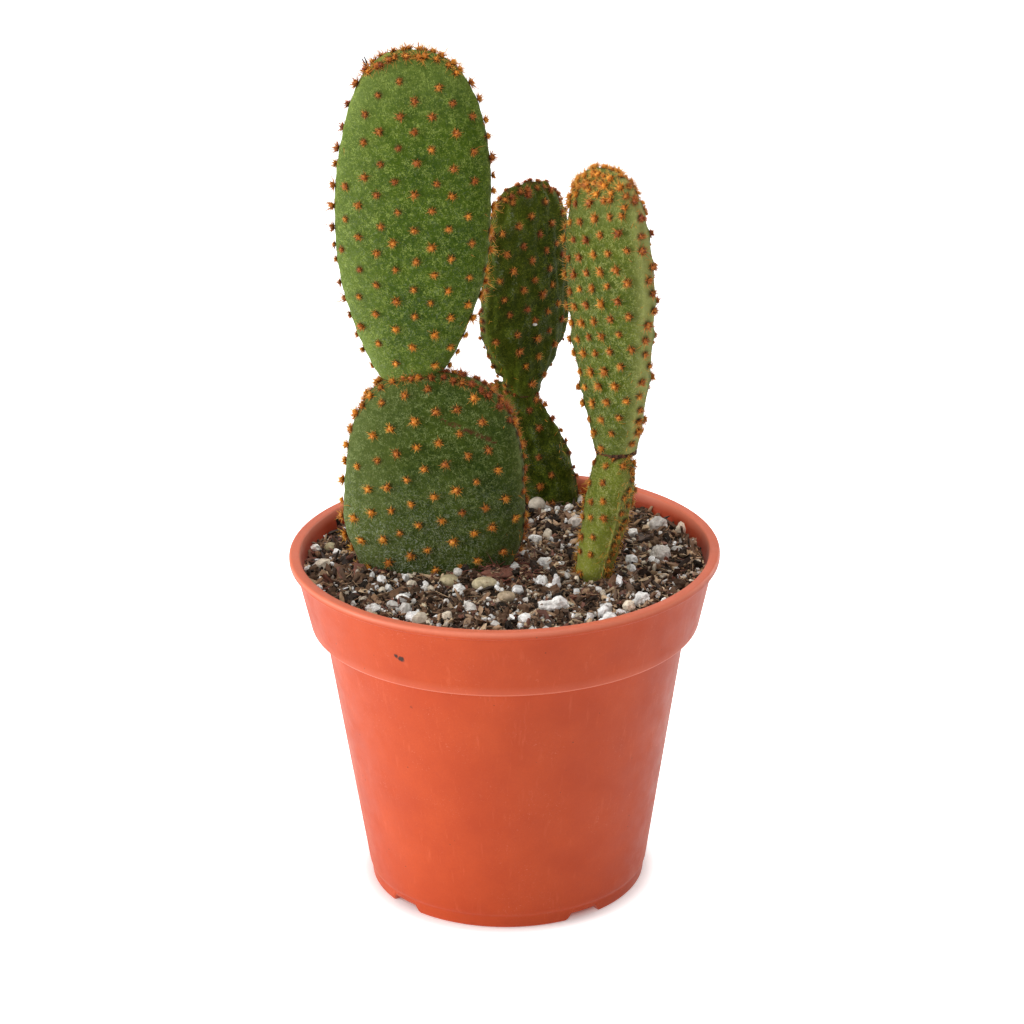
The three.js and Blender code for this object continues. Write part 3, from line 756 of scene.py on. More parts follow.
def build_grit():
    """The loose mix on the bed: peat, bark, perlite, gravel and fibres, each kind a joined piece."""
    peat = grain_material("peat_crumbs", 0.85, 0.8, 0.10, 0.25)
    bark = grain_material("bark_crumbs", 0.55, 1.2, 0.06, 0.3)
    white = grain_material("perlite_grain", 0.85, 1.0, 0.10)
    gravel = grain_material("gravel_grain", 0.6, 0.9, 0.05)
    fibre = grain_material("fibre", 0.7, 0.8, 0.02)
    dark = [(0.022, 0.012, 0.008), (0.080, 0.045, 0.026), (0.15, 0.088, 0.052), (0.010, 0.007, 0.005)]
    brown = [(0.18, 0.098, 0.055), (0.32, 0.185, 0.105), (0.50, 0.32, 0.19), (0.22, 0.085, 0.056),
             (0.040, 0.023, 0.015), (0.62, 0.44, 0.27), (0.110, 0.062, 0.040)]
    pale = [(0.92, 0.90, 0.86), (0.82, 0.78, 0.72), (0.95, 0.94, 0.92), (0.74, 0.64, 0.50)]
    stone = [(0.66, 0.50, 0.30), (0.46, 0.40, 0.33), (0.72, 0.61, 0.41), (0.50, 0.33, 0.21), (0.34, 0.28, 0.22),
             (0.66, 0.54, 0.42)]
    chip, nugget, lump = crate(), ball(1), ball(2)
    grains("peat_crumbs_fine", 21, 7500, (0.35, 1.5), (1.2, 1.0, 0.8), 0.20, dark + brown[:2],
           peat, "soil", nugget)
    grains("peat_crumbs_coarse", 22, 700, (1.0, 3.0), (1.3, 1.0, 0.6), 0.26, dark + brown[:1],
           peat, "soil", lump)
    grains("bark_chips", 23, 1900, (0.5, 3.0), (1.6, 0.6, 0.30), 0.22, dark[1:3] + brown,
           bark, "bark", chip, tilt=0.6)
    grains("bark_shreds", 30, 3200, (0.6, 3.4), (2.0, 0.5, 0.36), 0.20, dark + brown,
           bark, "bark", nugget, tilt=0.5)
    grains("bark_flakes", 27, 420, (1.8, 4.6), (1.5, 0.5, 0.14), 0.22, brown + brown[5:6],
           bark, "bark", chip, tilt=0.4)
    grains("perlite_specks", 24, 2300, (0.3, 1.9), (1.1, 0.8, 0.6), 0.20, pale,
           white, "perlite", nugget, 0.0, front_share=0.7)
    grains("perlite_lumps", 25, 330, (1.1, 3.4), (1.1, 0.95, 0.8), 0.12, pale,
           white, "perlite", lump, 0.05, front_share=0.35)
    grains("gravel_specks", 26, 1600, (0.4, 1.8), (1.4, 0.8, 0.5), 0.20, stone,
           gravel, "pebble", nugget, 0.0, front_share=0.7)
    fibres("bark_fibres", 28, 2600, (0, 0), 30, (1.6, 6.0), (0.05, 0.15),
           brown[1:] + [(0.50, 0.33, 0.19)], fibre)
    fibres("bark_fibre_heap", 29, 260, (0, -9), 4.0, (2.5, 7.0), (0.10, 0.26),
           [(0.20, 0.058, 0.036), (0.13, 0.038, 0.025), (0.27, 0.10, 0.065)], fibre)


STONE_LOOKS = {
    # colours, height of the lumps as a share of the stone, how close they lie (1/mm), roughness
    "pebble": ([(0.60, 0.52, 0.42), (0.52, 0.44, 0.26), (0.56, 0.47, 0.29), (0.50, 0.38, 0.25),
                (0.50, 0.42, 0.24)], 0.05, 0.35, 0.5),
    "perlite": ([(0.92, 0.90, 0.87), (0.95, 0.93, 0.90), (0.86, 0.83, 0.79)], 0.20, 0.9, 0.85),
    "pumice": ([(0.60, 0.55, 0.50), (0.66, 0.60, 0.54), (0.68, 0.60, 0.53)], 0.16, 0.9, 0.85),
    "bark": ([(0.20, 0.075, 0.050)], 0.14, 0.7, 0.8),
}


def build_stones():
    """Each large stone again, with a fine surface, where its CAD solid lies."""
    template, faces = ball(5)
    for node in sorted(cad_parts):
        kind = node.split("_")[0]
        if kind not in STONE_LOOKS:
            continue
        colours, lump, scale, roughness = STONE_LOOKS[kind]
        number = int(node.split("_")[1])
        low, high = (np.array(corner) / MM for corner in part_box(node))
        middle, half = (low + high) / 2, (high - low) / 2
        points = template * half
        raw = lump * noise_at(points, scale, number) + 0.5 * lump * noise_at(points, scale * 2.4, number + 0.5)
        facets = np.abs(noise_at(points, 0.42, number + 7)) * (0.0 if kind == "pebble" else 0.28)
        points = points * (1 + (raw - facets)[:, None])
        points *= half / np.abs(points).max(0)
        own = np.tile(np.array(colours[(number - 1) % len(colours)]), (len(points), 1))
        material = grain_material(f"{node}_surface", roughness, 1.1, 0.03 if kind == "pebble" else 0.12)
        piece = mesh_object(f"{node}_stone", points + middle, [faces], material, own_colour=own)
        keep(piece, kind, node)


# ---------------------------------------------------------------- pads

def pad_half(pad, share, side):
    """Half of a pad's width or thickness at a share of its length."""
    full, neck = (pad["width"], pad["neck"][0]) if side == "width" else (pad["thickness"], pad["neck"][1])
    crown = pad["crown"] if side == "width" else 2.0
    share = np.clip(share, 0, 1)
    climb = np.sin(math.pi / 2 * np.clip(share / pad["waist"], 0, 1)) ** pad["rise"]
    past = np.clip((share - pad["waist"]) / (1 - pad["waist"]), 0, 1)
    upper = np.maximum(1 - past ** crown, 0) ** (1 / crown)
    return np.where(share < pad["waist"], neck + (full - neck) * climb, full * upper) / 2


def pad_point(pad, share, angle):
    """Points of the smooth pad before it is placed: x across, y through with the front below 0, z along."""
    across = np.sign(np.cos(angle)) * np.abs(np.cos(angle)) ** SECTION_POWER
    through = np.sign(np.sin(angle)) * np.abs(np.sin(angle)) ** SECTION_POWER
    return np.stack([pad_half(pad, share, "width") * across, pad_half(pad, share, "thickness") * through,
                     share * pad["length"]], -1)


def pad_normal(pad, share, angle):
    """Unit normals of the smooth pad, from points a small step apart."""
    step = 1e-3
    share = np.clip(share, 2 * step, 1 - 2 * step)
    round_it = pad_point(pad, share, angle + step) - pad_point(pad, share, angle - step)
    along = pad_point(pad, share + step, angle) - pad_point(pad, share - step, angle)
    normal = np.cross(round_it, along)
    return normal / np.maximum(np.linalg.norm(normal, axis=-1, keepdims=True), 1e-9)


def pad_turn(pad):
    """Rotation that turns a pad about Z and then leans it to the right."""
    lean = Matrix.Rotation(math.radians(pad["lean"]), 3, "Y")
    return np.array(lean @ Matrix.Rotation(-math.radians(pad["turn"]), 3, "Z"))


def pads_foot(name):
    """Where the middle of a pad's foot lies, from its CAD node's box: same middle across, same top."""
    pad = PADS[name]
    share, angle = np.meshgrid(np.linspace(0, 1, 60), np.linspace(0, TURN, 60), indexing="ij")
    points = pad_point(pad, share.ravel(), angle.ravel()) @ pad_turn(pad).T
    low, high = (np.array(corner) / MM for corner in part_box(name))
    middle = (low + high) / 2 - (points.min(0) + points.max(0)) / 2
    return np.array([middle[0], middle[1], high[2] - points[:, 2].max()])


def face_spots(pad, rng):
    """Share and angle of the tufts on both faces: a slanting lattice with a little disorder."""
    (ax, ay), (bx, by) = pad["lattice"]
    steps = np.arange(-30, 31)
    i, j = (g.ravel() for g in np.meshgrid(steps, steps))
    shares, angles = [], []
    for side in (-1, 1):
        stray = 0.4 if pad["skin"] == "grey" else 0.75
        across = i * ax + j * bx + rng.uniform(-stray, stray, len(i)) + 1.3 * side
        up = pad["length"] * 0.5 + i * ay + j * by + rng.uniform(-stray, stray, len(i))
        share = up / pad["length"]
        inside = (share > pad["bare_below"]) & (share < 0.965)
        across, share = across[inside] * side, share[inside]
        half = pad_half(pad, share, "width")
        inside = np.abs(across) < half - 1.3
        across, share, half = across[inside], share[inside], half[inside]
        ratio = np.abs(across / half) ** (1 / SECTION_POWER) * np.sign(across)
        shares.append(share)
        angles.append(side * np.arccos(np.clip(ratio, -1, 1)))
    return np.concatenate(shares), np.concatenate(angles)


def edge_line(pad, low):
    """Shares along an edge and the distance along the edge to each."""
    share = np.linspace(low, 1.0, 800)
    edge = pad_point(pad, share, np.zeros(len(share)))
    return share, np.concatenate([[0], np.cumsum(np.linalg.norm(np.diff(edge, axis=0), axis=1))])


def margin_spots(pad, rng):
    """Tufts up both edges."""
    fine, length = edge_line(pad, pad["bare_below"])
    shares, angles = [], []
    for start, step in zip((math.pi, 0.0), pad["edge_steps"]):
        place = rng.uniform(0.2, 0.8) * step
        while place < length[-1]:
            share = np.interp(place, length, fine)
            if share < 0.95:
                shares.append(share)
                angles.append(start + rng.uniform(-0.17, 0.17))
            place += rng.uniform(0.75, 1.25) * step
    return np.array(shares), np.array(angles)


def crown_spots(pad, rng):
    """Crowded rows of tufts over the crown: one on the rim, the others below it on each face."""
    fine = np.linspace(pad["waist"], 1, 600)
    reach = pad["width"] * pad["crown_reach"]
    shares, angles = [], []
    for below in CROWN_ROWS:
        for side in (-1, 1) if 0 < below <= pad["crown_depth"] else (1,) if below == 0 else ():
            across = np.arange(-reach, reach, 1.95 + 0.4 * below)
            across = across + rng.uniform(-0.7, 0.7, len(across))
            rim = np.interp(-np.abs(across), -pad_half(pad, fine, "width"), fine)
            share = np.clip(rim - (below + rng.uniform(-0.3, 0.3, len(across))) / pad["length"], 0, 0.998)
            ratio = np.clip(across / np.maximum(pad_half(pad, share, "width"), 0.1), -1, 1)
            shares.append(share)
            angles.append(side * np.arccos(np.sign(ratio) * np.abs(ratio) ** (1 / SECTION_POWER)))
    return np.concatenate(shares), np.concatenate(angles)


def swell(pad, points):
    """Slow unevenness of the skin, with lengthwise furrows on the pads in the shade."""
    out = 0.40 * noise_at(points, 0.06, pad["seed"]) + 0.15 * noise_at(points, 0.22, pad["seed"] + 1)
    if pad["skin"] == "dark":
        out = out + 0.9 * furrows(pad, points)
    return out


def furrows(pad, points):
    """Noise drawn out along the pad."""
    return noise_at(points * (1, 1, 0.35), 0.50, pad["seed"] + 2)


def tuft_spots(pad, rng):
    """Share and angle of every tuft, and which of them stand on the edges and on the crown."""
    groups = face_spots(pad, rng), margin_spots(pad, rng), crown_spots(pad, rng)
    spots = [np.concatenate(column) for column in zip(*groups)]
    group = np.repeat(np.arange(3), [len(g[0]) for g in groups])
    return spots, group == 1, group == 2


def build_pad(name):
    """A pad's skin with its tufts and hairs."""
    pad = PADS[name]
    rng = np.random.default_rng(pad["seed"])
    spots, on_edge, on_crown = tuft_spots(pad, rng)
    spot_points = pad_point(pad, *spots)
    turn, foot = pad_turn(pad), pads_foot(name)
    build_skin(name, spot_points, turn, foot)

    spot_normals = pad_normal(pad, *spots)
    spot_at = spot_points + spot_normals * (swell(pad, spot_points) + pad["mound"] - 0.1)[:, None]
    # Tuft tone: the bristles' own colour with random spread, plus painted light from the pad's foot tone and its
    # changes up and across.
    foot_tone, upward, rightward = pad["tone"]
    tone = foot_tone + upward * spots[0] + rightward * np.cos(spots[1]) + pad["crown_tone"] * on_crown
    tone = np.clip(tone + rng.normal(size=len(tone)) * 0.18, 0, 1)
    size = pad["tuft"] * rng.uniform(0.75, 1.2, len(tone))
    edge_room = np.where(np.cos(spots[1]) < 0, *pad["edge_steps"])
    size[on_edge] *= np.clip(edge_room[on_edge] / 3.6, 0.62, 1.25)
    size[on_crown] *= 0.55 + 0.33 * pad["spiky"]
    spiky = np.where(on_crown, 1.2 * pad["spiky"], np.where(on_edge, pad["spiky"], 1.0))
    spot_at = spot_at + spot_normals * (0.25 * on_edge)[:, None]
    build_tufts(f"{name}_tufts", rng, spot_at @ turn.T + foot, spot_normals @ turn.T, size, tone, spiky)
    build_hairs(f"{name}_hairs", pad, rng, turn, foot)


def build_skin(name, spot_points, turn, foot):
    """A pad's skin: a mound with a pit and a brown stain at each tuft, and a fine ridge beside each edge."""
    pad = PADS[name]
    share = (1 - np.cos(np.linspace(0, math.pi, PAD_RINGS + 1))) / 2
    share[0], share[-1] = 0.0, 1 - 1e-5
    angle = np.linspace(0, TURN, PAD_SIDES, endpoint=False)
    s, a = (g.ravel() for g in np.meshgrid(share, angle, indexing="ij"))
    points, normals = pad_point(pad, s, a), pad_normal(pad, s, a)

    mounds, pits, stain = (np.zeros(len(points)) for _ in range(3))
    for spot in spot_points:
        away = np.linalg.norm(points - spot, axis=1)
        mounds = np.maximum(mounds, pad["mound"] * np.exp(-(away / 1.7) ** 2))
        pits = np.maximum(pits, 0.16 * np.exp(-(away / 0.6) ** 2))
        stain = np.maximum(stain, np.exp(-(away / 0.95) ** 4))
    to_edge = np.abs((a + math.pi / 2) % math.pi - math.pi / 2)
    keel_height, keel_place = pad["keel"]
    keel = np.exp(-((to_edge - keel_place) / 0.06) ** 2) * np.clip(4 - 4.4 * s, 0, 1) * np.clip(6 * s, 0, 1)
    wavy = 1 + 0.5 * noise_at(points, 0.35, pad["seed"] + 3)
    out = swell(pad, points) + mounds - pits + keel_height * keel * wavy
    round_foot = np.clip(1 - s * pad["length"] / 2.2, 0, 1) ** 2 if "upper" in name else 0 * s
    points = points + normals * out[:, None]
    points[:, :2] *= (1 - 0.35 * round_foot)[:, None]
    # Paleness of the fine ridge beside each edge: a painted highlight.
    ridge_highlight = 0.2 * keel * (keel_height > 0) * wavy
    marks = skin_marks(name, s, a, points, to_edge, ridge_highlight, wavy, stain)

    faces, uv = grid_faces(PAD_RINGS + 1, PAD_SIDES)
    ends = np.array([[0, 0, -0.2], [0, 0, pad["length"]]])
    all_points = np.concatenate([points, ends]) @ turn.T + foot
    cap_v = np.concatenate([np.tile([0.0, 0.004, 0.004], (PAD_SIDES, 1)),
                            np.tile([1.0, 0.996, 0.996], (PAD_SIDES, 1))])
    j = np.arange(PAD_SIDES)
    cap_u = np.tile(np.stack([j + 0.5, j + 1, j], 1) / PAD_SIDES, (2, 1))
    uv = np.concatenate([uv.reshape(-1, 2), np.stack([cap_u, cap_v], -1).reshape(-1, 2)])
    piece = mesh_object(f"{name}_skin", all_points, [faces, cap_faces(PAD_RINGS + 1, PAD_SIDES)],
                        SKIN_MATERIALS[pad["skin"]], uv,
                        **{mark: np.append(strength, [0.0, 0.0]) for mark, strength in marks.items()})
    keep(piece, "green_skin", name)


def skin_marks(name, s, a, points, to_edge, ridge_highlight, wavy, stain):
    """How strong each mark is at the skin's points: pale margin and painted highlight, grey scurf and
    painted light on furrow ridges, stain, graze, and waxy bloom and painted light.
    """
    pad = PADS[name]
    # The pale margin is partly the skin's own paler rim and partly painted highlight: on the fine ridge and, as
    # painted rim light, down the right edge.
    right_rim_light = pad["painted_rim_light"] * np.exp(-(to_edge / 0.42) ** 2) * (np.cos(a) > 0) * (1 + 0.5 * wavy) / 1.5
    margin_and_highlight = ridge_highlight + 0.2 * np.clip(1 - to_edge / 0.5, 0, 1) + right_rim_light
    if pad["skin"] == "shaded":
        scurf_and_furrow_light = np.clip(1.2 - s * 1.9, 0, 0.9) * np.clip(1.0 - 0.9 * noise_at(points, 0.08, 8), 0.1, 1)
    elif pad["skin"] == "dark":
        # On the pads in the shade the grey follows the furrows: painted light on their ridges.
        scurf_and_furrow_light = 0.75 * np.clip(furrows(pad, points), 0, 0.8)
    else:
        scurf_and_furrow_light = 0.22 * np.clip(1.2 - s, 0, 1)
    # Painted light: paler on the left side, under the left lamp, and on the crown, under the top lamp. Also paler
    # at the foot of the upper pads and towards the foot of the right lower pad.
    left, top = pad["bloom_and_painted_light"]
    bloom_and_painted_light = left * np.clip(-1.5 * np.cos(a) - 0.25, 0, 1) + top * np.clip(7 * s - 5.4, 0, 1)
    if "upper" in name:
        bloom_and_painted_light = bloom_and_painted_light + 0.35 * np.clip(1 - 4.5 * s, 0, 1)
    if pad["skin"] == "pale":
        bloom_and_painted_light = np.clip(1.5 - 2.2 * s, 0, 1)
    bloom_and_painted_light = np.clip(bloom_and_painted_light * (1 + 0.5 * noise_at(points, 0.10, 9)), 0, 1)
    return dict(margin_and_highlight=np.clip(margin_and_highlight, 0, 1), scurf_and_furrow_light=scurf_and_furrow_light, stain=stain, scar=scar_line(pad, points),
                bloom_and_painted_light=bloom_and_painted_light)


def scar_line(pad, points):
    """A healed graze: a slanting row of brown marks high on the front of the large lower pad."""
    if pad["seed"] != PADS["front_left_lower_pad"]["seed"]:
        return np.zeros(len(points))
    t = np.clip((points[:, 0] - 2.5) / 12.5, 0, 1)
    near = np.stack([2.5 + 12.5 * t, points[:, 1], 47.8 - 4.6 * t], -1)
    away = np.linalg.norm(points - near, axis=1)
    return np.exp(-(away / 0.6) ** 4) * (points[:, 1] < 0)


def build_hairs(name, pad, rng, turn, foot):
    """Fine loose hairs along both edges."""
    fine, length = edge_line(pad, pad["bare_below"])
    count = int(pad["hairs"] * length[-1] * 2)
    place = rng.uniform(0, length[-1], count)
    share = np.minimum(np.interp(place, length, fine), 0.995)
    angle = np.where(rng.random(count) < 0.5, 0.0, math.pi) + rng.normal(size=count) * 0.28
    base = pad_point(pad, share, angle)
    normal = pad_normal(pad, share, angle)
    first, second = tangents(normal)
    lean = first * rng.normal(size=(count, 1)) * 0.8 + second * rng.normal(size=(count, 1)) * 0.8
    direction = normal + lean
    direction = unit(direction)
    reach = rng.uniform(0.9, 2.4, count)
    base = base + normal * (swell(pad, base) - 0.05)[:, None]
    points, faces, along = strands(rng, base @ turn.T + foot, direction @ turn.T, reach,
                                   rng.uniform(0.045, 0.08, count), reach * 0.35)
    tones = np.repeat(np.clip(rng.normal(size=count) * 0.2 + 0.85, 0, 1), STRAND_POINTS)
    return bristle_piece(name, points, faces, along, tones, bristle_uv(tones, along, faces))


def on_pad(name, share, angle, lift=0.0):
    """Place and normal of one spot on a pad's skin."""
    pad = PADS[name]
    share, angle = np.array([share]), np.array([angle])
    normal = pad_normal(pad, share, angle)
    point = pad_point(pad, share, angle)
    point = point + normal * (swell(pad, point) + lift)[:, None]
    turn = pad_turn(pad)
    return (point @ turn.T + pads_foot(name))[0], (normal @ turn.T)[0]


def build_thorns(name, pad_name, share, angle, upward, count, lengths, radius, seed):
    """A few dry dark thorns at one spot."""
    rng = np.random.default_rng(seed)
    at, normal = on_pad(pad_name, share, angle)
    direction = normal + np.array([0, 0, upward]) + rng.normal(size=(count, 3)) * 0.4
    direction = unit(direction)
    base = at + rng.normal(size=(count, 3)) * 0.3
    length = rng.uniform(*lengths, count)
    points, faces, _ = strands(rng, base, direction, length, np.full(count, radius), length * 0.1)
    return keep(mesh_object(name, points, [faces], dark_thorn_material()), "bark")


def build_joint(name, pad_name, share, radius, seed):
    """A ring of cracked cork round the foot of a pad that grows on another."""
    rng = np.random.default_rng(seed)
    pad = PADS[pad_name]
    around, across = 120, 14
    angle, tube = (g.ravel() for g in np.meshgrid(np.linspace(0, TURN, around, endpoint=False),
                                                  np.linspace(0, TURN, across, endpoint=False), indexing="ij"))
    shares = np.full(len(angle), share)
    middle, normal = pad_point(pad, shares, angle), pad_normal(pad, shares, angle)
    normal[:, 2] = 0
    normal = unit(normal)
    points = middle - normal
    lumps = 1 + 0.55 * noise_at(points + np.stack([0 * tube, 0 * tube, 3 * np.sin(tube)], 1), 0.9, seed)
    points = points + radius * lumps[:, None] * (normal * np.cos(tube)[:, None]
                                                 + np.array([0, 0, 0.8]) * np.sin(tube)[:, None])
    i, j = (g.ravel() for g in np.meshgrid(np.arange(around), np.arange(across), indexing="ij"))
    ni, nj = (i + 1) % around, (j + 1) % across
    faces = np.stack([i * across + j, ni * across + j, ni * across + nj, i * across + nj], 1)
    turn, foot = pad_turn(pad), pads_foot(pad_name)
    keep(mesh_object(name, points @ turn.T + foot, [faces], cork_material()), "bark")
    count = JOINT_TUFTS
    spots = rng.uniform(0, TURN, count)
    normal = pad_normal(pad, np.full(count, 0.04), spots)
    stray = rng.normal(size=(count, 3)) * (0.3, 0.3, 0.6)
    at = pad_point(pad, np.full(count, share), spots) - normal * 1.1 + stray
    build_tufts(f"{name}_fuzz", rng, at @ turn.T + foot, normal @ turn.T, rng.uniform(0.5, 0.8, count),
                rng.uniform(0.1, 0.8, count), np.full(count, 1.3))


def build_fringe(name, pad_name, edge, count, low, high, lengths, seed):
    """Long loose hairs in a line up a pad: edge is the line's angle, pi for the left edge, 0 for the right."""
    rng = np.random.default_rng(seed)
    pad = PADS[pad_name]
    share = rng.uniform(low, high, count)
    angle = edge + rng.normal(size=count) * 0.2
    base, normal = pad_point(pad, share, angle), pad_normal(pad, share, angle)
    direction = normal + rng.normal(size=(count, 3)) * 0.7
    direction = unit(direction)
    turn, foot = pad_turn(pad), pads_foot(pad_name)
    length = rng.uniform(*lengths, count)
    points, faces, along = strands(rng, base @ turn.T + foot, direction @ turn.T, length,
                                   rng.uniform(0.05, 0.09, count), length * 0.5)
    along = 0.5 + 0.5 * along
    tones = np.repeat(rng.uniform(0.7, 1.0, count), STRAND_POINTS)
    return bristle_piece(name, points, faces, along, tones, bristle_uv(tones, along, faces))


def build_small_marks():
    """What is on one pad only: thorns, corky joints, lines of hairs and a crumb of perlite."""
    build_thorns("crown_thorn", "front_left_upper_pad", 0.935, math.pi - 0.1, 1.6, 2, (2.6, 3.6), 0.34, 31)
    build_thorns("joint_thorns", "right_upper_pad", 0.05, math.pi, 0.5, 6, (1.2, 2.6), 0.14, 32)
    build_joint("right_joint", "right_upper_pad", 0.016, 0.9, 33)
    build_joint("back_joint", "back_upper_pad", 0.02, 0.6, 34)
    build_fringe("back_fringe", "back_upper_pad", math.pi, 22, 0.45, 0.97, (1.8, 4.2), 36)
    build_fringe("right_fringe", "right_upper_pad", -2.35, 50, 0.42, 0.85, (0.9, 2.6), 39)
    build_fringe("right_stem_fringe", "right_lower_pad", -2.35, 110, 0.18, 0.90, (0.7, 1.8), 37)
    build_fringe("right_stem_far_fringe", "right_lower_pad", 0.75, 110, 0.18, 0.98, (0.7, 1.6), 38)
    template, faces = ball(3)
    at, normal = on_pad("back_upper_pad", 0.375, -1.62, 0.7)
    points = template * (1 + 0.25 * noise_at(template, 1.6, 35))[:, None] * (0.6, 0.45, 0.4)
    own = np.tile([0.94, 0.92, 0.88], (len(points), 1))
    surface = grain_material("stray_perlite_surface", 0.85, 1.0, 0.08)
    crumb = mesh_object("stray_perlite", points + at, [faces], surface, own_colour=own)
    keep(crumb, "perlite")


def bristle_piece(name, points, faces, along, tones, uv):
    piece = mesh_object(name, points, [faces], BRISTLES, uv, along=along, tone=tones)
    return keep(piece, "green_skin")


def bristle_uv(tones, along, faces):
    """Palette places for bristles: tone across and share of the length up."""
    wobble = np.tile([0.0, 0.006, 0.012, 0.0, 0.006, 0.012, 0.006], len(tones) // STRAND_POINTS)
    return np.stack([0.02 + tones * 0.94 + wobble, 0.02 + along * 0.96], -1)[faces.ravel()]


def tangents(normals):
    """Two unit vectors square to each normal."""
    upright, sideways = np.array([[0.0, 0.0, 1.0]]), np.array([[1.0, 0.0, 0.0]])
    helper = np.where(np.abs(normals[:, 2:3]) < 0.9, upright, sideways)
    first = unit(np.cross(normals, helper))
    return first, np.cross(normals, first)


def strands(rng, base, direction, length, radius, bend):
    """Points, faces and share along its length for thin three-sided bristles with a middle joint."""
    count = len(base)
    first, second = tangents(direction)
    drift = bend[:, None] * (first * rng.normal(size=(count, 1)) + second * rng.normal(size=(count, 1)))
    middle = base + direction * (length * 0.55)[:, None] + drift * 0.3
    tip = base + direction * length[:, None] + drift
    corners = np.array([0, TURN / 3, 2 * TURN / 3])
    ring = (first[:, None, :] * np.cos(corners)[None, :, None]
            + second[:, None, :] * np.sin(corners)[None, :, None])
    low = base[:, None, :] + ring * radius[:, None, None]
    mid = middle[:, None, :] + ring * radius[:, None, None] * 0.7
    points = np.concatenate([low, mid, tip[:, None, :]], 1)
    pattern = np.array([[0, 1, 4], [0, 4, 3], [1, 2, 5], [1, 5, 4], [2, 0, 3], [2, 3, 5], [3, 4, 6], [4, 5, 6],
                        [5, 3, 6], [2, 1, 0]])
    along = np.tile(STRAND_ALONG, (count, 1))
    return points.reshape(-1, 3), copied_faces(pattern, count, STRAND_POINTS), along.ravel()


def build_tufts(name, rng, at, normal, size, tone, spiky):
    """A tuft at each place: a lumpy cushion, a crowded core of short bristles and a star of longer ones."""
    first, second = tangents(normal)
    parts = [cushions(rng, at, first, second, normal, size, tone)]
    for count, polar_low, polar_high, short, long, thick, star in TUFT_LAYERS:
        n = len(at) * count
        own = np.repeat(np.arange(len(at)), count)
        polar = np.radians(rng.uniform(polar_low, polar_high, n))
        spin = rng.uniform(0, TURN, n)
        outward = first[own] * np.cos(spin)[:, None] + second[own] * np.sin(spin)[:, None]
        direction = normal[own] * np.cos(polar)[:, None] + outward * np.sin(polar)[:, None]
        base = at[own] + outward * (size[own] * 0.35 * np.sqrt(rng.random(n)))[:, None] - normal[own] * 0.1
        length = size[own] * rng.uniform(short, long, n) * spiky[own] ** star
        radius = size[own] * thick * rng.uniform(0.8, 1.2, n)
        points, faces, along = strands(rng, base, direction, length, radius, length * 0.10)
        strand_tone = np.clip(tone[own] + rng.normal(size=n) * 0.16, 0, 1)
        parts.append((points, faces, along, np.repeat(strand_tone, STRAND_POINTS), bristle_uv))
    start, all_faces, uv = 0, [], []
    for points, faces, along, tones, to_uv in parts:
        all_faces.append(faces + start)
        uv.append(to_uv(tones, along, faces))
        start += len(points)
    points, along, tones = (np.concatenate([p[i] for p in parts]) for i in (0, 2, 3))
    return bristle_piece(name, points, np.concatenate(all_faces), along, tones, np.concatenate(uv))


def cushions(rng, at, first, second, normal, size, tone):
    """The lumpy ball of packed short bristles in the middle of each tuft."""
    template, template_faces = ball(2)
    frames = np.stack([first, second, 0.85 * normal], 1)
    lumps = size[:, None] * 0.58 * rng.uniform(0.65, 1.25, (len(at), len(template)))
    middle = at + 0.25 * size[:, None] * normal
    points = np.einsum("nv,vk,nkj->nvj", lumps, template, frames) + middle[:, None, :]
    # Darker on the side towards the skin: painted shade under each cushion.
    along = rng.uniform(0.02, 0.60, (len(at), len(template))) * np.clip(0.75 + 0.4 * template[:, 2], 0.3, 1)
    tones = np.clip(tone[:, None] + rng.normal(size=along.shape) * 0.12, 0, 1)
    faces = copied_faces(template_faces, len(at), len(template))
    return points.reshape(-1, 3), faces, along.ravel(), tones.ravel(), cushion_uv


def cushion_uv(tones, along, faces):
    """Palette places for cushions, as for bristles."""
    return np.stack([0.02 + tones * 0.94, 0.02 + along * 0.96], -1)[faces.ravel()]


# ---------------------------------------------------------------- stage

FLOOR_GLOW = 0.30
# How bright the floor glows to the camera at each distance (m) from the middle: dark under the pot, white
# far away
FLOOR_SHINE = ((0.030, 0.0), (0.0345, 0.12), (0.0362, 0.92), (0.042, 1.0))
SKY_LIGHT = 0.12
FLOOR_HALF_SIDE = 4000
FLOOR_SINK = 0.00002
LAMP_AIM = (0, 0, 0.11)
# Each lamp: place (m), side (m) and power (W)
LAMPS = {
    "left_lamp": ((-0.90, -0.20, 0.20), 0.50, 8.8),
    "front_lamp": ((0.00, -1.10, 0.70), 0.60, 3.3),
    "top_lamp": ((0.00, 0.00, 1.10), 0.60, 8.0),
    "right_back_lamp": ((0.60, 0.60, 0.30), 0.45, 2.1),
    "back_lamp": ((0.00, 0.90, 0.70), 0.60, 1.1),
}


def build_stage():
    """The floor, just below the pot's foot so that the two don't fight for the same height."""
    corners = np.array([[-1, -1, 0], [1, -1, 0], [1, 1, 0], [-1, 1, 0]]) * FLOOR_HALF_SIDE
    floor = mesh_object("floor", corners, [np.array([[0, 1, 2, 3]])], floor_material())
    floor.location.z = -FLOOR_SINK


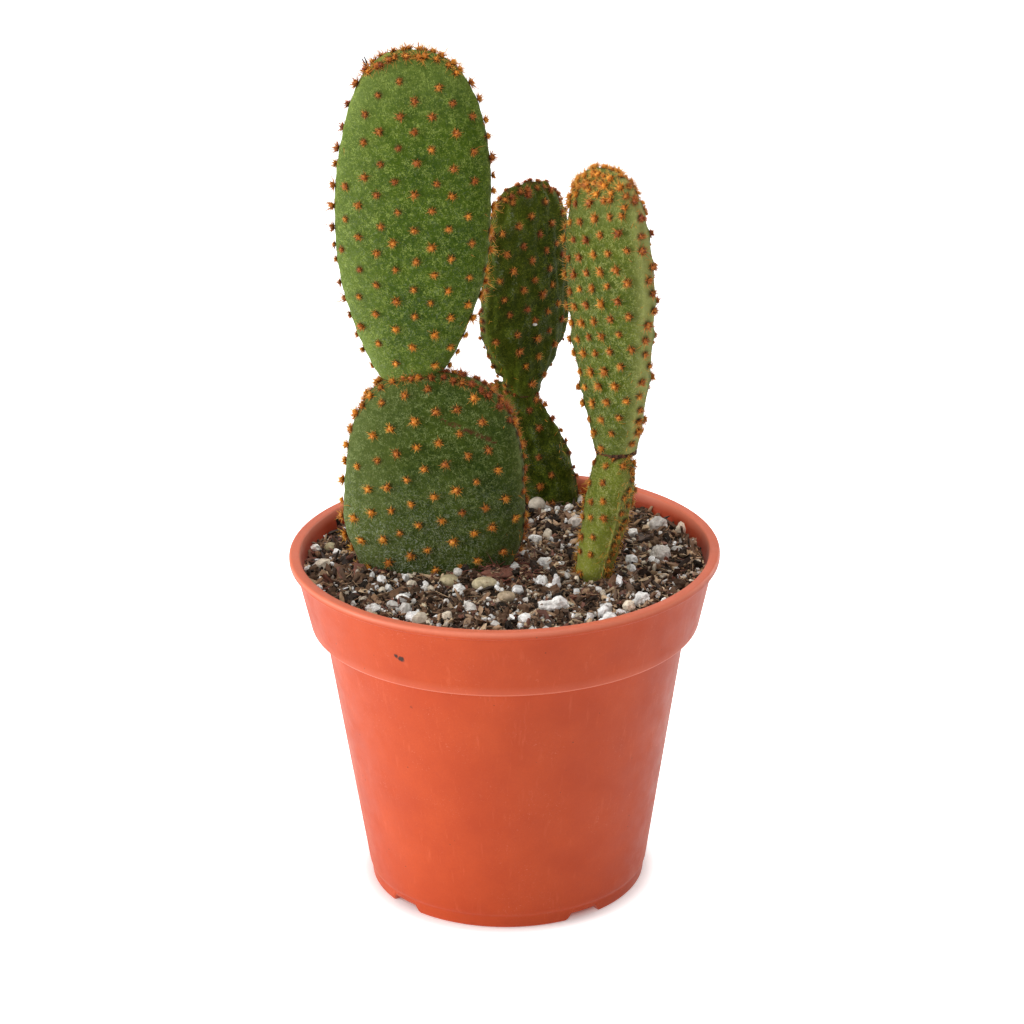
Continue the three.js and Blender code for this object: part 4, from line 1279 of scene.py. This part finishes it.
def floor_material():
    """A pale floor that glows white to the camera, so that only the shadow close to the pot shows."""
    s = Shader("pale_floor", 0.9, Specular_IOR_Level=0.0)
    s.set("Base Color", s.ramp(s.noise(400, 1), (0.0, 0.90), (1.0, 0.92)))
    s.set("Emission Color", (1.0, 1.0, 1.0))
    away = s.node("ShaderNodeVectorMath", operation="LENGTH")
    s.put(away.inputs[0], s.scaled(s.object_mm, MM))
    shine = s.ramp(away.outputs["Value"], *FLOOR_SHINE)
    seen = s.node("ShaderNodeLightPath").outputs["Is Camera Ray"]
    s.set("Emission Strength", s.blend(seen, (FLOOR_GLOW,) * 3, shine))
    return s.material


def build_light():
    """A white backdrop that lights the object only a little, and soft lamps round it."""
    world = bpy.data.worlds.new("studio")
    bpy.context.scene.world = world
    world.use_nodes = True
    nodes, links = world.node_tree.nodes, world.node_tree.links
    strength = nodes.new("ShaderNodeMapRange")
    strength.inputs["To Min"].default_value = SKY_LIGHT
    strength.inputs["To Max"].default_value = 1.0
    links.new(nodes.new("ShaderNodeLightPath").outputs["Is Camera Ray"], strength.inputs["Value"])
    links.new(strength.outputs[0], nodes["Background"].inputs["Strength"])
    nodes["Background"].inputs["Color"].default_value = (1, 1, 1, 1)
    for name, (at, size, power) in LAMPS.items():
        lamp = bpy.data.lights.new(name, "AREA")
        lamp.shape = "SQUARE"
        lamp.size = size
        lamp.energy = power
        light = bpy.data.objects.new(name, lamp)
        light.location = at
        light.rotation_euler = (Vector(LAMP_AIM) - Vector(at)).to_track_quat("-Z", "Y").to_euler()
        light.visible_camera = False
        bpy.context.scene.collection.objects.link(light)


def build_camera():
    data = bpy.data.cameras.new("photo_view")
    data.lens = CAMERA_LENS
    data.sensor_width = SENSOR_WIDTH
    data.clip_end = 20
    camera = bpy.data.objects.new("photo_view", data)
    camera.location = [c * MM for c in CAMERA_AT]
    view = Matrix.Rotation(math.radians(90 - CAMERA_DOWN_DEG), 3, "X")
    camera.rotation_euler = (view @ Matrix.Rotation(math.radians(CAMERA_ROLL_DEG), 3, "Z")).to_euler()
    bpy.context.scene.collection.objects.link(camera)
    bpy.context.scene.camera = camera
    bpy.context.scene.view_settings.view_transform = "Standard"


SKIN_MATERIALS = {kind: skin_material(kind) for kind in SKINS}
BRISTLES = bristle_material()

build_camera()
build_light()
build_stage()
build_pot()
build_soil()
build_grit()
build_stones()
for pad_name in PADS:
    build_pad(pad_name)
build_small_marks()
